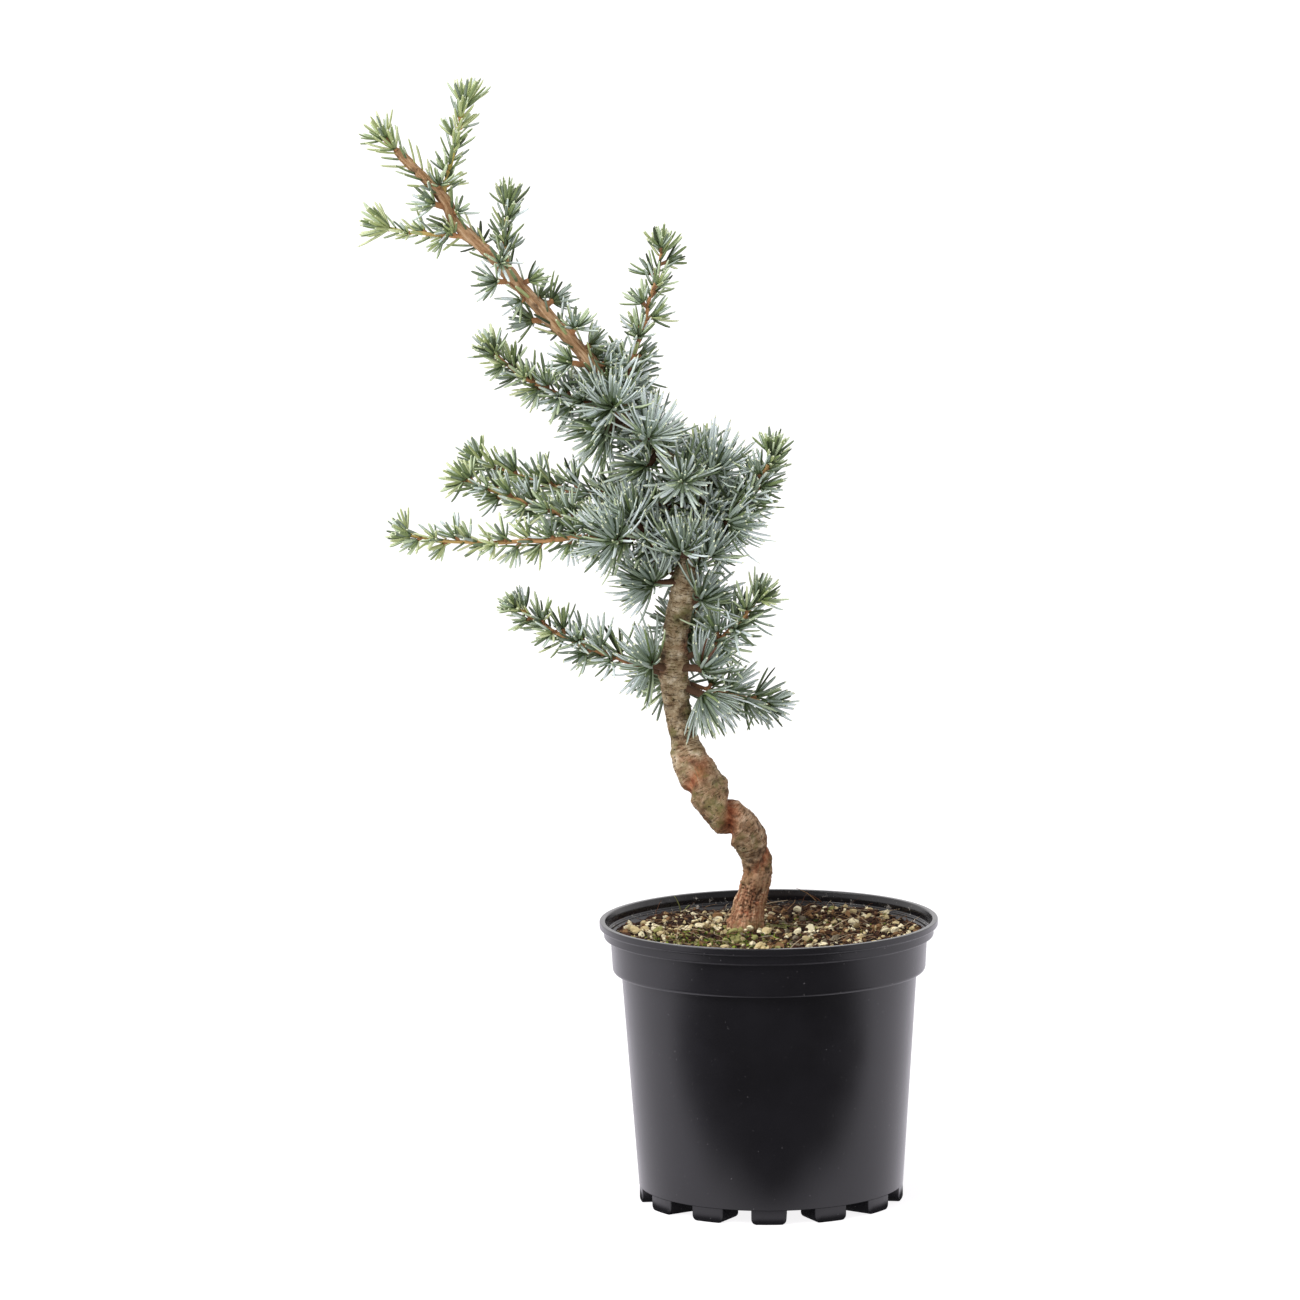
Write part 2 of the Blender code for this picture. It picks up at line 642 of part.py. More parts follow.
def turned_away(direction, splay, spin):
    """The direction leaned over by `splay` degrees, on the side given by `spin`."""
    side, up = across_and_up(direction)
    lean = math.radians(splay)
    outward = side * math.cos(spin) + up * math.sin(spin)
    return (direction * math.cos(lean) + outward * math.sin(lean)).normalized()


def long_stem_needles(line, start, rng):
    """Needles all round a long stem, longest near its foot, and a brush at its tip."""
    needles = []
    span = line.length() * (1 - start)
    count = int(span / NEEDLE_SPACING)
    spin = rng.uniform(0, math.tau)
    for index in range(count):
        along = (index + 0.8) / (count + 1)
        share = start + (1 - start) * along
        spin += GOLDEN_ANGLE
        splay = blend(LONG_STEM_SPLAY, along) + rng.uniform(-9, 9)
        length = blend(LONG_STEM_NEEDLE, along) * rng.uniform(0.85, 1.12)
        direction = turned_away(line.direction(share), splay, spin)
        radius = blend(LONG_STEM_STOUT, along)
        needles.append(Needle(line.point(share), direction, length, radius))
    tip = line.point(1.0) - line.direction(1.0) * 0.0012
    for index in range(BRUSH_NEEDLES):
        splay = BRUSH_SPLAY * rng.uniform(0.8, 1.2) if index else 4.0
        spin = math.tau * index / (BRUSH_NEEDLES - 1)
        length = LONG_STEM_NEEDLE[1] * rng.uniform(1.05, 1.25)
        direction = turned_away(line.direction(1.0), splay, spin)
        needles.append(Needle(tip, direction, length, LONG_STEM_STOUT[1]))
    return needles


def fan_needles(line, rng, count, spread, length, core, radius):
    """Needles that fan out evenly from the end of a short stem."""
    needles = []
    ahead = line.direction(1.0)
    low = math.cos(math.radians(spread))
    spin = rng.uniform(0, math.tau)
    for index in range(count):
        spin += GOLDEN_ANGLE
        height = 1 - (1 - low) * (index + 0.4) / count
        splay = math.degrees(math.acos(height)) + rng.uniform(-4, 4)
        direction = turned_away(ahead, splay, spin)
        root = line.point(1.0) + direction * core * 0.35
        needles.append(Needle(root, direction, length * rng.uniform(0.86, 1.1), radius))
    return needles


class Space:
    """Knows whose space a place belongs to: that of the nearest stem."""

    def __init__(self):
        self.points = []
        self.owners = []
        self.radii = []

    def add(self, owner, line, start, radius):
        steps = max(2, int(line.length() * (1 - start) / SPACE_STEP))
        for index in range(steps + 1):
            share = blend((start, 1.0), index / steps)
            self.points.append(tuple(line.point(share)))
            self.owners.append(owner)
            self.radii.append(radius)

    def freeze(self):
        self.points = np.array(self.points)
        self.owners = np.array(self.owners)
        self.radii = np.array(self.radii)

    def reach(self, owner, place):
        """Distance to the nearest other stem less the distance to the owner's."""
        gaps = np.linalg.norm(self.points - np.array(place), axis=1) - self.radii
        own = self.owners == owner
        return gaps[~own].min() - gaps[own].min()


def fits(needle, owner, space, limbs):
    """True where the whole needle stays in its mass's space and off the limbs."""
    for part in NEEDLE_SAMPLES:
        place = needle.root + needle.direction * needle.length * part
        radius = needle.radius * (1 - part) + SPACE_MARGIN
        if space.reach(owner, place) < 2 * radius:
            return False
        for limb in limbs:
            gap = limb.find_nearest(place)[3]
            if gap < radius + CLEARANCE:
                return False
    return True


def trimmed(needle, owner, space, limbs):
    """The needle, or a shorter one that fits, or None."""
    for part in NEEDLE_TRIMS:
        shorter = needle._replace(length=needle.length * part)
        if shorter.length < SHORTEST_NEEDLE:
            return None
        if fits(shorter, owner, space, limbs):
            return shorter
    return None


def needle_mesh():
    """A needle one metre long that tapers from its root to a point."""
    bm = bmesh.new()
    bmesh.ops.create_cone(bm, cap_ends=True, segments=NEEDLE_SIDES, radius1=1.0,
                          radius2=0.0, depth=1.0, matrix=Matrix.Translation((0, 0, 0.5)))
    return mesh_from(bm, "needle")


def place_needles(needles, name):
    extras = new_collection(name + "_needles")
    mesh = needle_mesh()
    for needle in needles:
        item = new_object("needle", mesh, extras)
        turn = needle.direction.to_track_quat("Z", "Y").to_matrix().to_4x4()
        size = Matrix.Diagonal((needle.radius, needle.radius, needle.length, 1))
        item.matrix_world = Matrix.Translation(needle.root) @ turn @ size
    return extras


def add_core(extras, place, radius):
    """The bud that a fan of needles stands on."""
    bm = bmesh.new()
    bmesh.ops.create_icosphere(bm, subdivisions=1, radius=radius,
                               matrix=Matrix.Translation(place))
    new_object("core", mesh_from(bm, "core"), extras)


# ---- the plant ----------------------------------------------------------------------

def limb_base(limb, lines):
    if limb.parent == "trunk":
        station = trunk_station(limb.at)
        return Vector((station.x, station.y, station.height))
    if limb.parent == "tip":
        top = TRUNK[-1]
        return Vector((top.x, top.y, top.height))
    return lines[limb.parent].point(limb.at)


def build_plant(parts, soil, pot):
    trunk = build_trunk(parts)
    surfaces = {"trunk": surface_of(trunk)}
    surfaces["tip"] = surfaces["trunk"]
    obstacles = [surfaces["trunk"], surface_of(soil), surface_of(pot)]
    lines = {}
    space = Space()
    stems = []
    for limb in LONG_LIMBS + ROSETTES + SPURS:
        line = Line(limb_base(limb, lines), limb.reach, limb.bend)
        start = start_share(surfaces[limb.parent], line, limb.radius)
        if limb.bare:
            name = "bough_" + limb.name
            lines[name] = line
            taper = (limb.radius, limb.radius * BOUGH_TAPER)
            radii = [blend(taper, ring / (BOUGH_RINGS - 1)) for ring in range(BOUGH_RINGS)]
            bough = tube(name, line, start, limb.bare, radii, parts)
            paint(bough, "bark")
            surfaces[name] = surface_of(bough)
            obstacles.append(surfaces[name])
            start = limb.bare + (CLEARANCE * 1.2) / line.length()
        if limb.bare < 1:
            radius = limb.radius * BOUGH_TAPER if limb.bare else limb.radius
            stems.append((limb, line, start, radius))
            space.add(limb.name, line, start, core_radius(limb))
    space.freeze()
    for limb, line, start, radius in stems:
        build_mass(limb, line, start, radius, space, obstacles, parts)


def core_radius(limb):
    """Thickness of the mass round its stem, which its space is measured from."""
    if limb in ROSETTES:
        return ROSETTE_CORE
    return SPUR_CORE if limb in SPURS else STEM_CORE[0]


def mass_needles(limb, line, start):
    """The needles that the limb would carry if it stood alone."""
    rng = random.Random(SEED + sum(ord(letter) for letter in limb.name))
    if limb in ROSETTES:
        return fan_needles(line, rng, ROSETTE_NEEDLES, ROSETTE_SPREAD,
                           ROSETTE_NEEDLE, ROSETTE_CORE, ROSETTE_STOUT)
    if limb in SPURS:
        return fan_needles(line, rng, SPUR_NEEDLES, SPUR_SPREAD,
                           SPUR_NEEDLE, SPUR_CORE, SPUR_STOUT)
    return long_stem_needles(line, start, rng)


def build_mass(limb, line, start, radius, space, obstacles, parts):
    """One node: a stem with its needles fused on."""
    is_long = limb in LONG_LIMBS
    name = "shoot_" + limb.name if is_long else limb.name
    radii = [radius, radius]
    if is_long:
        rings = round(line.length() * (1 - start) / STEM_STEP) + 1
        radii = [radius] + [blend(STEM_CORE, ring / rings) for ring in range(1, rings + 1)]
    stem = tube(name, line, start, 1.0, radii, parts)
    grown = mass_needles(limb, line, start)
    kept = [trimmed(needle, limb.name, space, obstacles) for needle in grown]
    extras = place_needles([needle for needle in kept if needle], name)
    if not is_long:
        add_core(extras, line.point(1.0), core_radius(limb))
    fuse(stem, extras)
    keep_largest_piece(stem)
    paint(stem, "needles")


def main():
    clear_scene()
    parts = new_collection("potted_blue_cedar")
    pot = build_pot(parts)
    soil = build_soil(parts)
    build_plant(parts, soil, pot)


main()
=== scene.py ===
"""Looks of a young blue cedar in a nursery pot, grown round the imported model.

The limbs and needles grow by the same seeded rule as in the part's source, carried on
to finer twigs and life-size needles.  Metres, +Z up, pot axis on the Z axis.  The tables
of limbs, needles, knots and stalks are in millimetres.
"""
import json
import math
import random
from collections import namedtuple
from itertools import product

import bmesh
import bpy
import numpy as np
from mathutils import Matrix, Vector

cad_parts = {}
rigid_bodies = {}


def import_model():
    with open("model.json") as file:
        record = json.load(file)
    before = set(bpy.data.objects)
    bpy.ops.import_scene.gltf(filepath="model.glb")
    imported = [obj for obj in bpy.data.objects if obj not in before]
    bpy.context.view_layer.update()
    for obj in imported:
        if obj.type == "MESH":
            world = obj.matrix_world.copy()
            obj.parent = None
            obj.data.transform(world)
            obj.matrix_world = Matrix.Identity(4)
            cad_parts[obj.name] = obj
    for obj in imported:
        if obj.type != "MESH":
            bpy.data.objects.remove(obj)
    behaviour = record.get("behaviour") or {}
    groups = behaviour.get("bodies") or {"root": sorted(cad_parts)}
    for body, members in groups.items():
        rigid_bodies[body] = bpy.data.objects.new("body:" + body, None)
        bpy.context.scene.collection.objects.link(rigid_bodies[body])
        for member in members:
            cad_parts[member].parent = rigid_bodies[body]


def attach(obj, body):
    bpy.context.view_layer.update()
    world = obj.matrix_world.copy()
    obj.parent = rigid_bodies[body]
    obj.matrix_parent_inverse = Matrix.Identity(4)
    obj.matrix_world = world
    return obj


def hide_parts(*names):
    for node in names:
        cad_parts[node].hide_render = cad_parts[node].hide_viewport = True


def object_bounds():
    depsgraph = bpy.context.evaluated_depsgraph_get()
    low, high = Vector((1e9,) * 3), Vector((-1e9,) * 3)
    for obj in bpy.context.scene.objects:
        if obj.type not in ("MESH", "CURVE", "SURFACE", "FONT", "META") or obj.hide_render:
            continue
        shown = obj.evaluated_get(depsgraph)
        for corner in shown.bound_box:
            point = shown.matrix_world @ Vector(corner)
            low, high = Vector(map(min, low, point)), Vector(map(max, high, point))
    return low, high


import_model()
CAD_BOX = [list(corner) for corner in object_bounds()]


def mm(sizes):
    """Metres from millimetres."""
    return tuple(size / 1000 for size in sizes)


# ---- sizes shared with the part's source ----------------------------------------------

SEED = 41
POT_HEIGHT, POT_WALL = 0.159, 0.0015
LIP_RADIUS, LIP_BOTTOM = 0.095, 0.1548
NECK_RADIUS, NECK_TOP, NECK_BOTTOM = 0.0926, 0.1536, 0.1500
COLLAR_RADIUS, COLLAR_DRAFT, COLLAR_BOTTOM = 0.0889, 0.0010, 0.1305
BODY_TOP_RADIUS, BODY_BOTTOM_RADIUS = 0.0830, 0.0746
FLOOR_HEIGHT, FLOOR_ROUNDING = 0.008, 0.0016
HUB_RADIUS = 0.024
FOOT_COUNT, FOOT_TURN = 13, math.radians(-92.2)
FOOT_WIDTH, FOOT_CORNER = 0.0195, 0.0030
FOOT_INNER_RADIUS, FOOT_OUTER_RADIUS = 0.056, 0.0738
SUNK = 0.0006                       # of the feet in the floor

SOIL_LEVEL, SOIL_LUMPS = 0.1500, 0.0014
MOUND_PLACE, MOUND_HEIGHT, MOUND_SPREAD = (0.042, 0.050), 0.0024, 0.028
PAD_LEVEL, PAD_RADIUS, PAD_SLOPE = 0.1512, 0.0115, 0.022    # round the trunk's foot
CLEARANCE = 0.0003

# the trunk, from the cut at soil level to the leader's tip
Station = namedtuple("Station", "height x y radius")
CUT = 1000 * (PAD_LEVEL + CLEARANCE)
TRUNK = [Station(*mm(row)) for row in (
    (CUT, -13.2, 9, 9.3), (165.7, -10.5, 8, 8.1), (184.2, -6, 4, 7.8), (199, -7.8, 0.5, 8.6),
    (210.5, -14.7, -2.2, 9.6), (224.3, -28.9, -3, 9.4), (237, -36.4, -1, 10.8),
    (250, -42.8, 2, 10.2), (258.5, -45.5, 4, 8.2), (281, -50.2, 6, 7.5), (301, -51.9, 4.5, 7.5),
    (324.5, -49.8, 1, 7), (349, -45, -2.5, 6.6), (373, -37.7, -2, 6), (392.7, -34.3, 2, 5.6),
    (406.6, -40.2, 4, 5.3), (420.6, -53.4, 5, 5.2), (450.4, -82.5, 2, 4.6),
    (474.5, -96.5, -0.5, 4), (499.7, -119.5, -3, 3.6), (533.5, -149.4, -6, 3.3),
    (553.3, -170, -8, 3.1), (563.3, -173.7, -9, 3), (588.4, -196.9, -10, 2.7),
    (595, -203.3, -11, 2.1))]

# A limb springs from its parent: the trunk at a height, or a bough at a share of its
# length.  Its tip lies at `reach` from there, and its middle is moved by `bend`.  The
# share `bare` of a long limb is a bough, and the rest is the stem of a mass.
Limb = namedtuple("Limb", "name parent at reach bend bare radius fans")


def limb(name, at, reach, bend=(0, 0, 0), bare=0, radius=1.5, parent="trunk", fans=()):
    return Limb(name, parent, at, mm(reach), mm(bend), bare, radius / 1000, fans)


def rosette(name, at, reach, *fans, parent="trunk"):
    """Each of its fans of needles has an axis, a spread, a share of the needles and one of
    their length."""
    return limb("rosette_" + name, at, reach, parent=parent, fans=fans)


LONG_LIMBS = [
    limb("top_right", 0.5665, (13, 11, 52), radius=1.3),
    limb("top_left", 0.545, (-46, -10, 6), (0, 0, -2), radius=1.3),
    limb("top_middle", 0.522, (-1, 9, 40), (-3, 0, 0), radius=1.3),
    limb("upper_right", 0.450, (27, 16, 85), (2, 0, -1), 0.22, 2.1),
    limb("upper_left", 0.448, (-70, -18, 34), (-2, 0, -7), 0.22, 1.9),
    limb("middle_right", 0.382, (40, -12, 41), (5, 0, -5), 0.28, 2.0),
    limb("middle_left", 0.368, (-45, -10, 12), (0, 0, 1), 1, 2.6),
    limb("middle_left_rear", 0.393, (-126, 34, 22), (0, 0, -6.5), 0.30, 2.4),
    limb("lower_left", 0.2975, (-87, -25, 42), (0, 0, -5), 0.30, 2.2),
    limb("lower_right", 0.3035, (48, -18, 39), (2, 0, -4), 0.40, 1.9),
    limb("lowest_right", 0.2935, (53, 11, -15), (0, 0, 0), 0.32, 1.8),
    limb("rear_low", 0.323, (16, 70, 8), (0, 0, -4), 0.30, 1.9),
    limb("rear_middle", 0.375, (-30, 85, 10), (0, 0, -5), 0.28, 2.1),
    limb("rear_right", 0.413, (12, 70, 6), (0, 0, -4), 0.28, 1.9),
    limb("rear_high", 0.442, (-18, 66, 6), (0, 0, -4), 0.28, 1.8),
    limb("rear_lowest", 0.291, (-14, 62, 6), (0, 0, -4)),
    limb("far_left", 0.99, (-115, -20, 2), (0, 0, -5), parent="bough_middle_left"),
    limb("far_left_upper", 0.82, (-92, 12, 31), (0, 0, -2), parent="bough_middle_left"),
]
ROSETTES = [
    rosette("neck_left", 0.448, (-3, -18, 2), ((0.10, -0.55, 0.83), 98),
            ((-0.6, -0.4, -0.5), 50, 0.4, 0.95)),
    rosette("neck_under", 0.443, (-13, -9, -8), ((-0.66, -0.52, -0.50), 84, 1.15)),
    rosette("neck_front", 0.432, (1, -24, 2), ((0.24, -0.66, 0.66), 104, 1.1)),
    rosette("neck_low", 0.424, (-9, -13, -8), ((-0.70, -0.60, -0.16), 88, 1.1, 0.95)),
    rosette("bend_front", 0.407, (-5, -22, 2), ((0.02, -0.70, 0.30), 106, 0.95, 0.82)),
    rosette("bend_right", 0.406, (12, -8, 7), ((0.42, -0.42, 0.80), 88, 1.2)),
    rosette("bough_middle", 0.62, (-6, -4, 12), ((-0.20, -0.40, 0.88), 72),
            parent="bough_middle_left"),
    rosette("bough_end", 0.90, (-3, -12, -2), ((-0.48, -0.40, 0.68), 88),
            ((-0.62, -0.30, -0.62), 48, 0.6), parent="bough_middle_left"),
    rosette("shoulder_right", 0.2, (4, -11, -3), ((0.80, -0.42, 0.12), 78),
            parent="bough_middle_right"),
    rosette("chest_front", 0.363, (-6, -17, 7), ((-0.20, -0.45, 0.85), 86, 1.15, 1.02)),
    rosette("chest_right", 0.361, (10, -13, 6), ((0.34, -0.48, 0.80), 80)),
    rosette("waist_right", 0.339, (12, -5, 2), ((0.70, -0.42, 0.50), 82)),
    rosette("waist_left", 0.350, (-18, -9, 1), ((-0.60, -0.52, 0.60), 80, 1.05, 0.96),
            ((-0.80, -0.42, -0.30), 58, 0.75, 0.96)),
    rosette("low_left", 0.2995, (-12, -15, 6), ((-0.62, -0.36, 0.68), 80, 0.95),
            ((-0.35, -0.30, -0.85), 34, 0.3)),
    rosette("low_right", 0.3015, (16, -14, 1), ((0.68, -0.34, 0.66), 76, 0.95)),
    rosette("lowest_right", 0.2925, (16, -8, -6), ((0.46, -0.46, -0.70), 76, 1.0, 1.10)),
    rosette("rear_lowest", 0.306, (6, 19, 4)),
    rosette("rear_low", 0.351, (-4, 18, 6)),
    rosette("rear_middle", 0.389, (8, 19, 2)),
    rosette("rear_neck", 0.425, (-6, 19, 4)),
    rosette("rear_high", 0.458, (4, 17, 3)),
]
SPURS = [limb("spur_tip", 1.0, (-3.5, 0, 4), parent="tip")] + [
    limb(f"spur_leader_{number}", at, reach) for number, (at, reach) in enumerate((
        (0.471, (-12, -8, 3)), (0.487, (3, -5, 6)), (0.497, (-10, 4, 0)), (0.5035, (6, 4, 4)),
        (0.5195, (-10, -6, 0)), (0.560, (-8, -4, 3))), start=1)]

STEM_END = 0.0013
BOUGH_TAPER = 0.62
SCAR_PITCH, SCAR_START, SCAR_MIDDLE, SCAR_REACH = 0.032, 0.040, 0.072, 0.030
FLARE_LOBES, FLARE_TURN = 5, 0.7
ROSETTE_NEEDLE, ROSETTE_SPREAD = 0.0280, 112.0
SPUR_NEEDLE, SPUR_SPREAD = 0.0155, 62.0
GOLDEN_ANGLE = math.radians(137.508)

# ---- finer sizes of the looks ---------------------------------------------------------

TRUNK_RINGS, TRUNK_SIDES = 860, 84
TRUNK_SUNK = 0.004                  # of its foot in the soil
SCAR_DEPTH, SCAR_LIP, SWELLING = 0.44, 0.10, 0.10       # of the radius
SCAR_WIDTH = 0.0034
FLARE, FLARE_HEIGHT = 0.22, 0.008
LEADER_START, LEADER_BLEND = 0.315, 0.05    # where tan bark takes over, up the trunk
FOOT_END, FOOT_BLEND = 0.044, 0.020         # where flaky bark ends

NEEDLE_RINGS = (0.0, 0.07, 0.34, 0.74, 0.94)
NEEDLE_SHAPE = (0.55, 0.88, 1.0, 0.96, 0.66)    # width at each ring, of the widest
NEEDLE_HALF_WIDTH = 0.00090
NEEDLE_THICKNESS = 0.80             # of its width
ROSETTE_NEEDLES, SPUR_NEEDLES = 68, 24
LEADER_FROM = 0.66                  # of the trunk's length: its needles start here
LEADER_SPACING = 0.0028             # of the single needles up the leader
LEADER_SLIMMED = 0.04               # of the radius
FILLER_HEIGHTS = (0.352, 0.462)     # of the trunk that small tufts cover
FILLER_SPACING = 0.0030
DRESSING_SPACING = 0.0042           # of small tufts on a bough's foot

CAMERA_PLACE = (-0.06475, -3.5, 0.796)
CAMERA_PITCH, CAMERA_ROLL = math.radians(7.875), math.radians(-0.70)
CAMERA_LENS, SENSOR = 175.3, 36.0


# ---- small helpers --------------------------------------------------------------------

def srgb(colour):
    """Linear colour of an eight-bit display colour."""
    shares = [part / 255 for part in colour]
    return (*(s / 12.92 if s <= 0.04045 else ((s + 0.055) / 1.055) ** 2.4 for s in shares), 1.0)


def blend(pair, share):
    return pair[0] + (pair[1] - pair[0]) * share


def unit(vectors):
    return vectors / np.maximum(np.linalg.norm(vectors, axis=-1, keepdims=True), 1e-12)


def bell(distance, width):
    return np.exp(-(distance / width) ** 2)


def lattice(cells):
    """Repeatable random number from -1 to 1 for each whole-numbered cell."""
    mixed = (cells[..., 0] * 73856093) ^ (cells[..., 1] * 19349663) ^ (cells[..., 2] * 83492791)
    mixed = (mixed ^ (mixed >> 13)) * 1274126177
    mixed = (mixed ^ (mixed >> 16)) & 0xFFFFFF
    return mixed / float(0x7FFFFF) - 1.0


def noise(points):
    """Smooth noise from -1 to 1 at points of shape (..., 3)."""
    cell = np.floor(points).astype(np.int64)
    part = points - cell
    part = part * part * (3 - 2 * part)
    total = np.zeros(points.shape[:-1])
    for corner in product((0, 1), repeat=3):
        x, y, z = (part[..., axis] if corner[axis] else 1 - part[..., axis] for axis in range(3))
        total += x * y * z * lattice(cell + np.array(corner))
    return total


def layered(points, octaves, gain):
    return sum(gain ** octave * noise(points * 2.0 ** octave + 17.3 * octave)
               for octave in range(octaves))


def placed(name, data):
    """A new object in the scene that holds this mesh, lamp or camera."""
    item = bpy.data.objects.new(name, data)
    bpy.context.scene.collection.objects.link(item)
    return item


def finish_piece(piece, nodes):
    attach(piece, "root")
    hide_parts(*nodes)


class Batch:
    """Collects the faces of one kind of thing and joins them into one piece."""

    def __init__(self):
        self.points, self.loops, self.sizes, self.slots = [], [], [], []
        self.tags = {}
        self.count = 0

    def add(self, points, loops, sizes, slots, **tags):
        points = np.asarray(points, float).reshape(-1, 3)
        self.points.append(points)
        self.loops.append(np.ravel(loops) + self.count)
        self.sizes.append(np.ravel(sizes))
        self.slots.append(np.broadcast_to(slots, np.ravel(sizes).shape))
        for name, values in tags.items():
            self.tags.setdefault(name, []).append(np.asarray(values, float))
        self.count += len(points)

    def build(self, name, slot, nodes, materials, smooth=True):
        mesh = bpy.data.meshes.new(name)
        loops, sizes, slots = (np.concatenate(parts).astype(np.int32)
                               for parts in (self.loops, self.sizes, self.slots))
        mesh.vertices.add(self.count)
        mesh.vertices.foreach_set("co", np.concatenate(self.points).astype(np.float32).ravel())
        mesh.loops.add(len(loops))
        mesh.loops.foreach_set("vertex_index", loops)
        mesh.polygons.add(len(sizes))
        mesh.polygons.foreach_set("loop_start", np.cumsum(sizes, dtype=np.int32) - sizes)
        mesh.polygons.foreach_set("material_index", slots)
        for tag, parts in self.tags.items():
            values = np.concatenate(parts).astype(np.float32)
            kind, field = ("FLOAT", "value") if values.ndim == 1 else ("FLOAT_VECTOR", "vector")
            attribute = mesh.attributes.new(tag, kind, "POINT")
            attribute.data.foreach_set(field, values.ravel())
        mesh.update(calc_edges=True)
        mesh.validate()
        mesh.polygons.foreach_set("use_smooth", [smooth] * len(mesh.polygons))
        for material in materials:
            mesh.materials.append(material)
        finish_piece(placed(name, mesh), nodes)


def skin_loops(rings, sides):
    """Faces of a closed tube whose points run ring by ring."""
    ring = np.arange(rings - 1)[:, None] * sides
    side = np.arange(sides)[None, :]
    after = (side + 1) % sides
    quads = np.stack((ring + side, ring + after, ring + sides + after, ring + sides + side), -1)
    ends = np.arange(sides)[::-1], (rings - 1) * sides + np.arange(sides)
    sizes = np.append(np.full((rings - 1) * sides, 4), (sides, sides))
    return np.concatenate((quads.ravel(), *ends)), sizes


def ring_spokes(side, up, sides):
    """Directions from each centre to the points of its ring, and their angles."""
    angle = np.arange(sides) * math.tau / sides
    return side[:, None] * np.cos(angle)[:, None] + up[:, None] * np.sin(angle)[:, None], angle


def ball(subdivisions):
    """Points and triangles of a unit ball."""
    mesh = bmesh.new()
    bmesh.ops.create_icosphere(mesh, subdivisions=subdivisions, radius=1.0)
    points = np.array([vertex.co for vertex in mesh.verts])
    loops = np.array([[vertex.index for vertex in face.verts] for face in mesh.faces])
    mesh.free()
    return points, loops


# ---- materials ------------------------------------------------------------------------

class Nodes:
    """Puts a node tree together step by step."""

    def __init__(self, tree):
        self.tree = tree

    def link(self, value, socket):
        """Joins another node's output to this socket, or sets a constant on it."""
        if isinstance(value, bpy.types.NodeSocket):
            self.tree.links.new(value, socket)
        else:
            socket.default_value = value

    def node(self, kind, *values, named=None, **settings):
        """A node whose first inputs are `values`, with others by their name or number."""
        made = self.tree.nodes.new("ShaderNode" + kind)
        for key, value in settings.items():
            setattr(made, key, value)
        for key, value in (*enumerate(values), *(named or {}).items()):
            self.link(value, made.inputs[key])
        return made

    def window(self, value, low, high, *range_to, curve="LINEAR"):
        """0 at low, 1 at high, or the values of `range_to`."""
        return self.node("MapRange", value, low, high, *range_to,
                         interpolation_type=curve).outputs[0]

    def soft_window(self, value, low, high):
        return self.window(value, low, high, curve="SMOOTHSTEP")

    def maths(self, how, *values):
        return self.node("Math", *values, operation=how).outputs[0]


class Paint(Nodes):
    """A node material with one main shader.  Colours of three numbers are display colours."""

    def __init__(self, name, roughness, specular):
        self.material = bpy.data.materials.new(name)
        self.material.use_nodes = True
        super().__init__(self.material.node_tree)
        self.shader = self.tree.nodes["Principled BSDF"]
        self.set("Roughness", roughness)
        self.set("Specular IOR Level", specular)

    def set(self, socket, value):
        self.link(value, self.shader.inputs[socket])

    def tag(self, name, output="Fac"):
        return self.node("Attribute", attribute_name=name).outputs[output]

    def place(self):
        return self.node("TexCoord").outputs["Object"]

    def stretched(self, vector, scale):
        return self.node("Mapping", vector, named={"Scale": scale}).outputs[0]

    def noise(self, vector, scale, detail=4.0, rough=0.55):
        return self.node("TexNoise", vector, named={"Scale": scale, "Detail": detail,
                                                    "Roughness": rough}).outputs["Fac"]

    def ramp(self, value, *stops):
        """Each stop is a place and a colour."""
        made = self.node("ValToRGB", value)
        elements = made.color_ramp.elements
        while len(elements) < len(stops):
            elements.new(0.5)
        for element, (place, *colour) in zip(elements, stops):
            element.position = place
            element.color = srgb(colour)
        return made.outputs["Color"]

    def mixed(self, share, *colours):
        first, second = (srgb(value) if isinstance(value, tuple) and len(value) == 3 else value
                         for value in colours)
        return self.node("Mix", data_type="RGBA", named={0: share, 6: first, 7: second}).outputs[2]

    def bump(self, height, distance, strength):
        made = self.node("Bump", named={"Height": height, "Distance": distance,
                                        "Strength": strength})
        self.set("Normal", made.outputs["Normal"])


def pot_paint():
    """Black moulded plastic with dust specks and, inside the lip, chalky spots."""
    paint = Paint("black_moulded_plastic", 0.24, 0.5)
    place = paint.place()
    base = paint.ramp(paint.noise(place, 28.0, 3.0), (0.3, 19, 18, 21), (0.7, 25, 24, 28))
    specks = paint.window(paint.noise(place, 620.0, 2.0), 0.735, 0.76)
    base = paint.mixed(specks, base, (84, 82, 84))
    spots = paint.window(paint.noise(place, 190.0, 5.0, 0.7), 0.60, 0.68)
    chalk = paint.maths("MULTIPLY", spots, paint.tag("chalk"))
    paint.set("Base Color", paint.mixed(chalk, base, (196, 190, 182)))
    paint.set("Roughness", paint.window(paint.noise(place, 60.0, 5.0), 0.0, 1.0, 0.20, 0.29))
    paint.bump(paint.noise(place, 900.0, 3.0), 0.00003, 0.4)
    return paint.material


def peat_paint():
    paint = Paint("potting_mix", 0.95, 0.2)
    place = paint.place()
    paint.set("Base Color", paint.ramp(
        paint.noise(place, 420.0, 6.0, 0.7), (0.30, 24, 15, 11), (0.50, 46, 30, 22),
        (0.66, 78, 54, 40), (0.80, 120, 94, 70)))
    paint.bump(paint.noise(place, 900.0, 5.0, 0.7), 0.0006, 0.9)
    return paint.material


def plain_paint(name, colour, roughness, specular):
    paint = Paint(name, roughness, specular)
    paint.set("Base Color", srgb(colour))
    paint.material.diffuse_color = srgb(colour)
    return paint.material


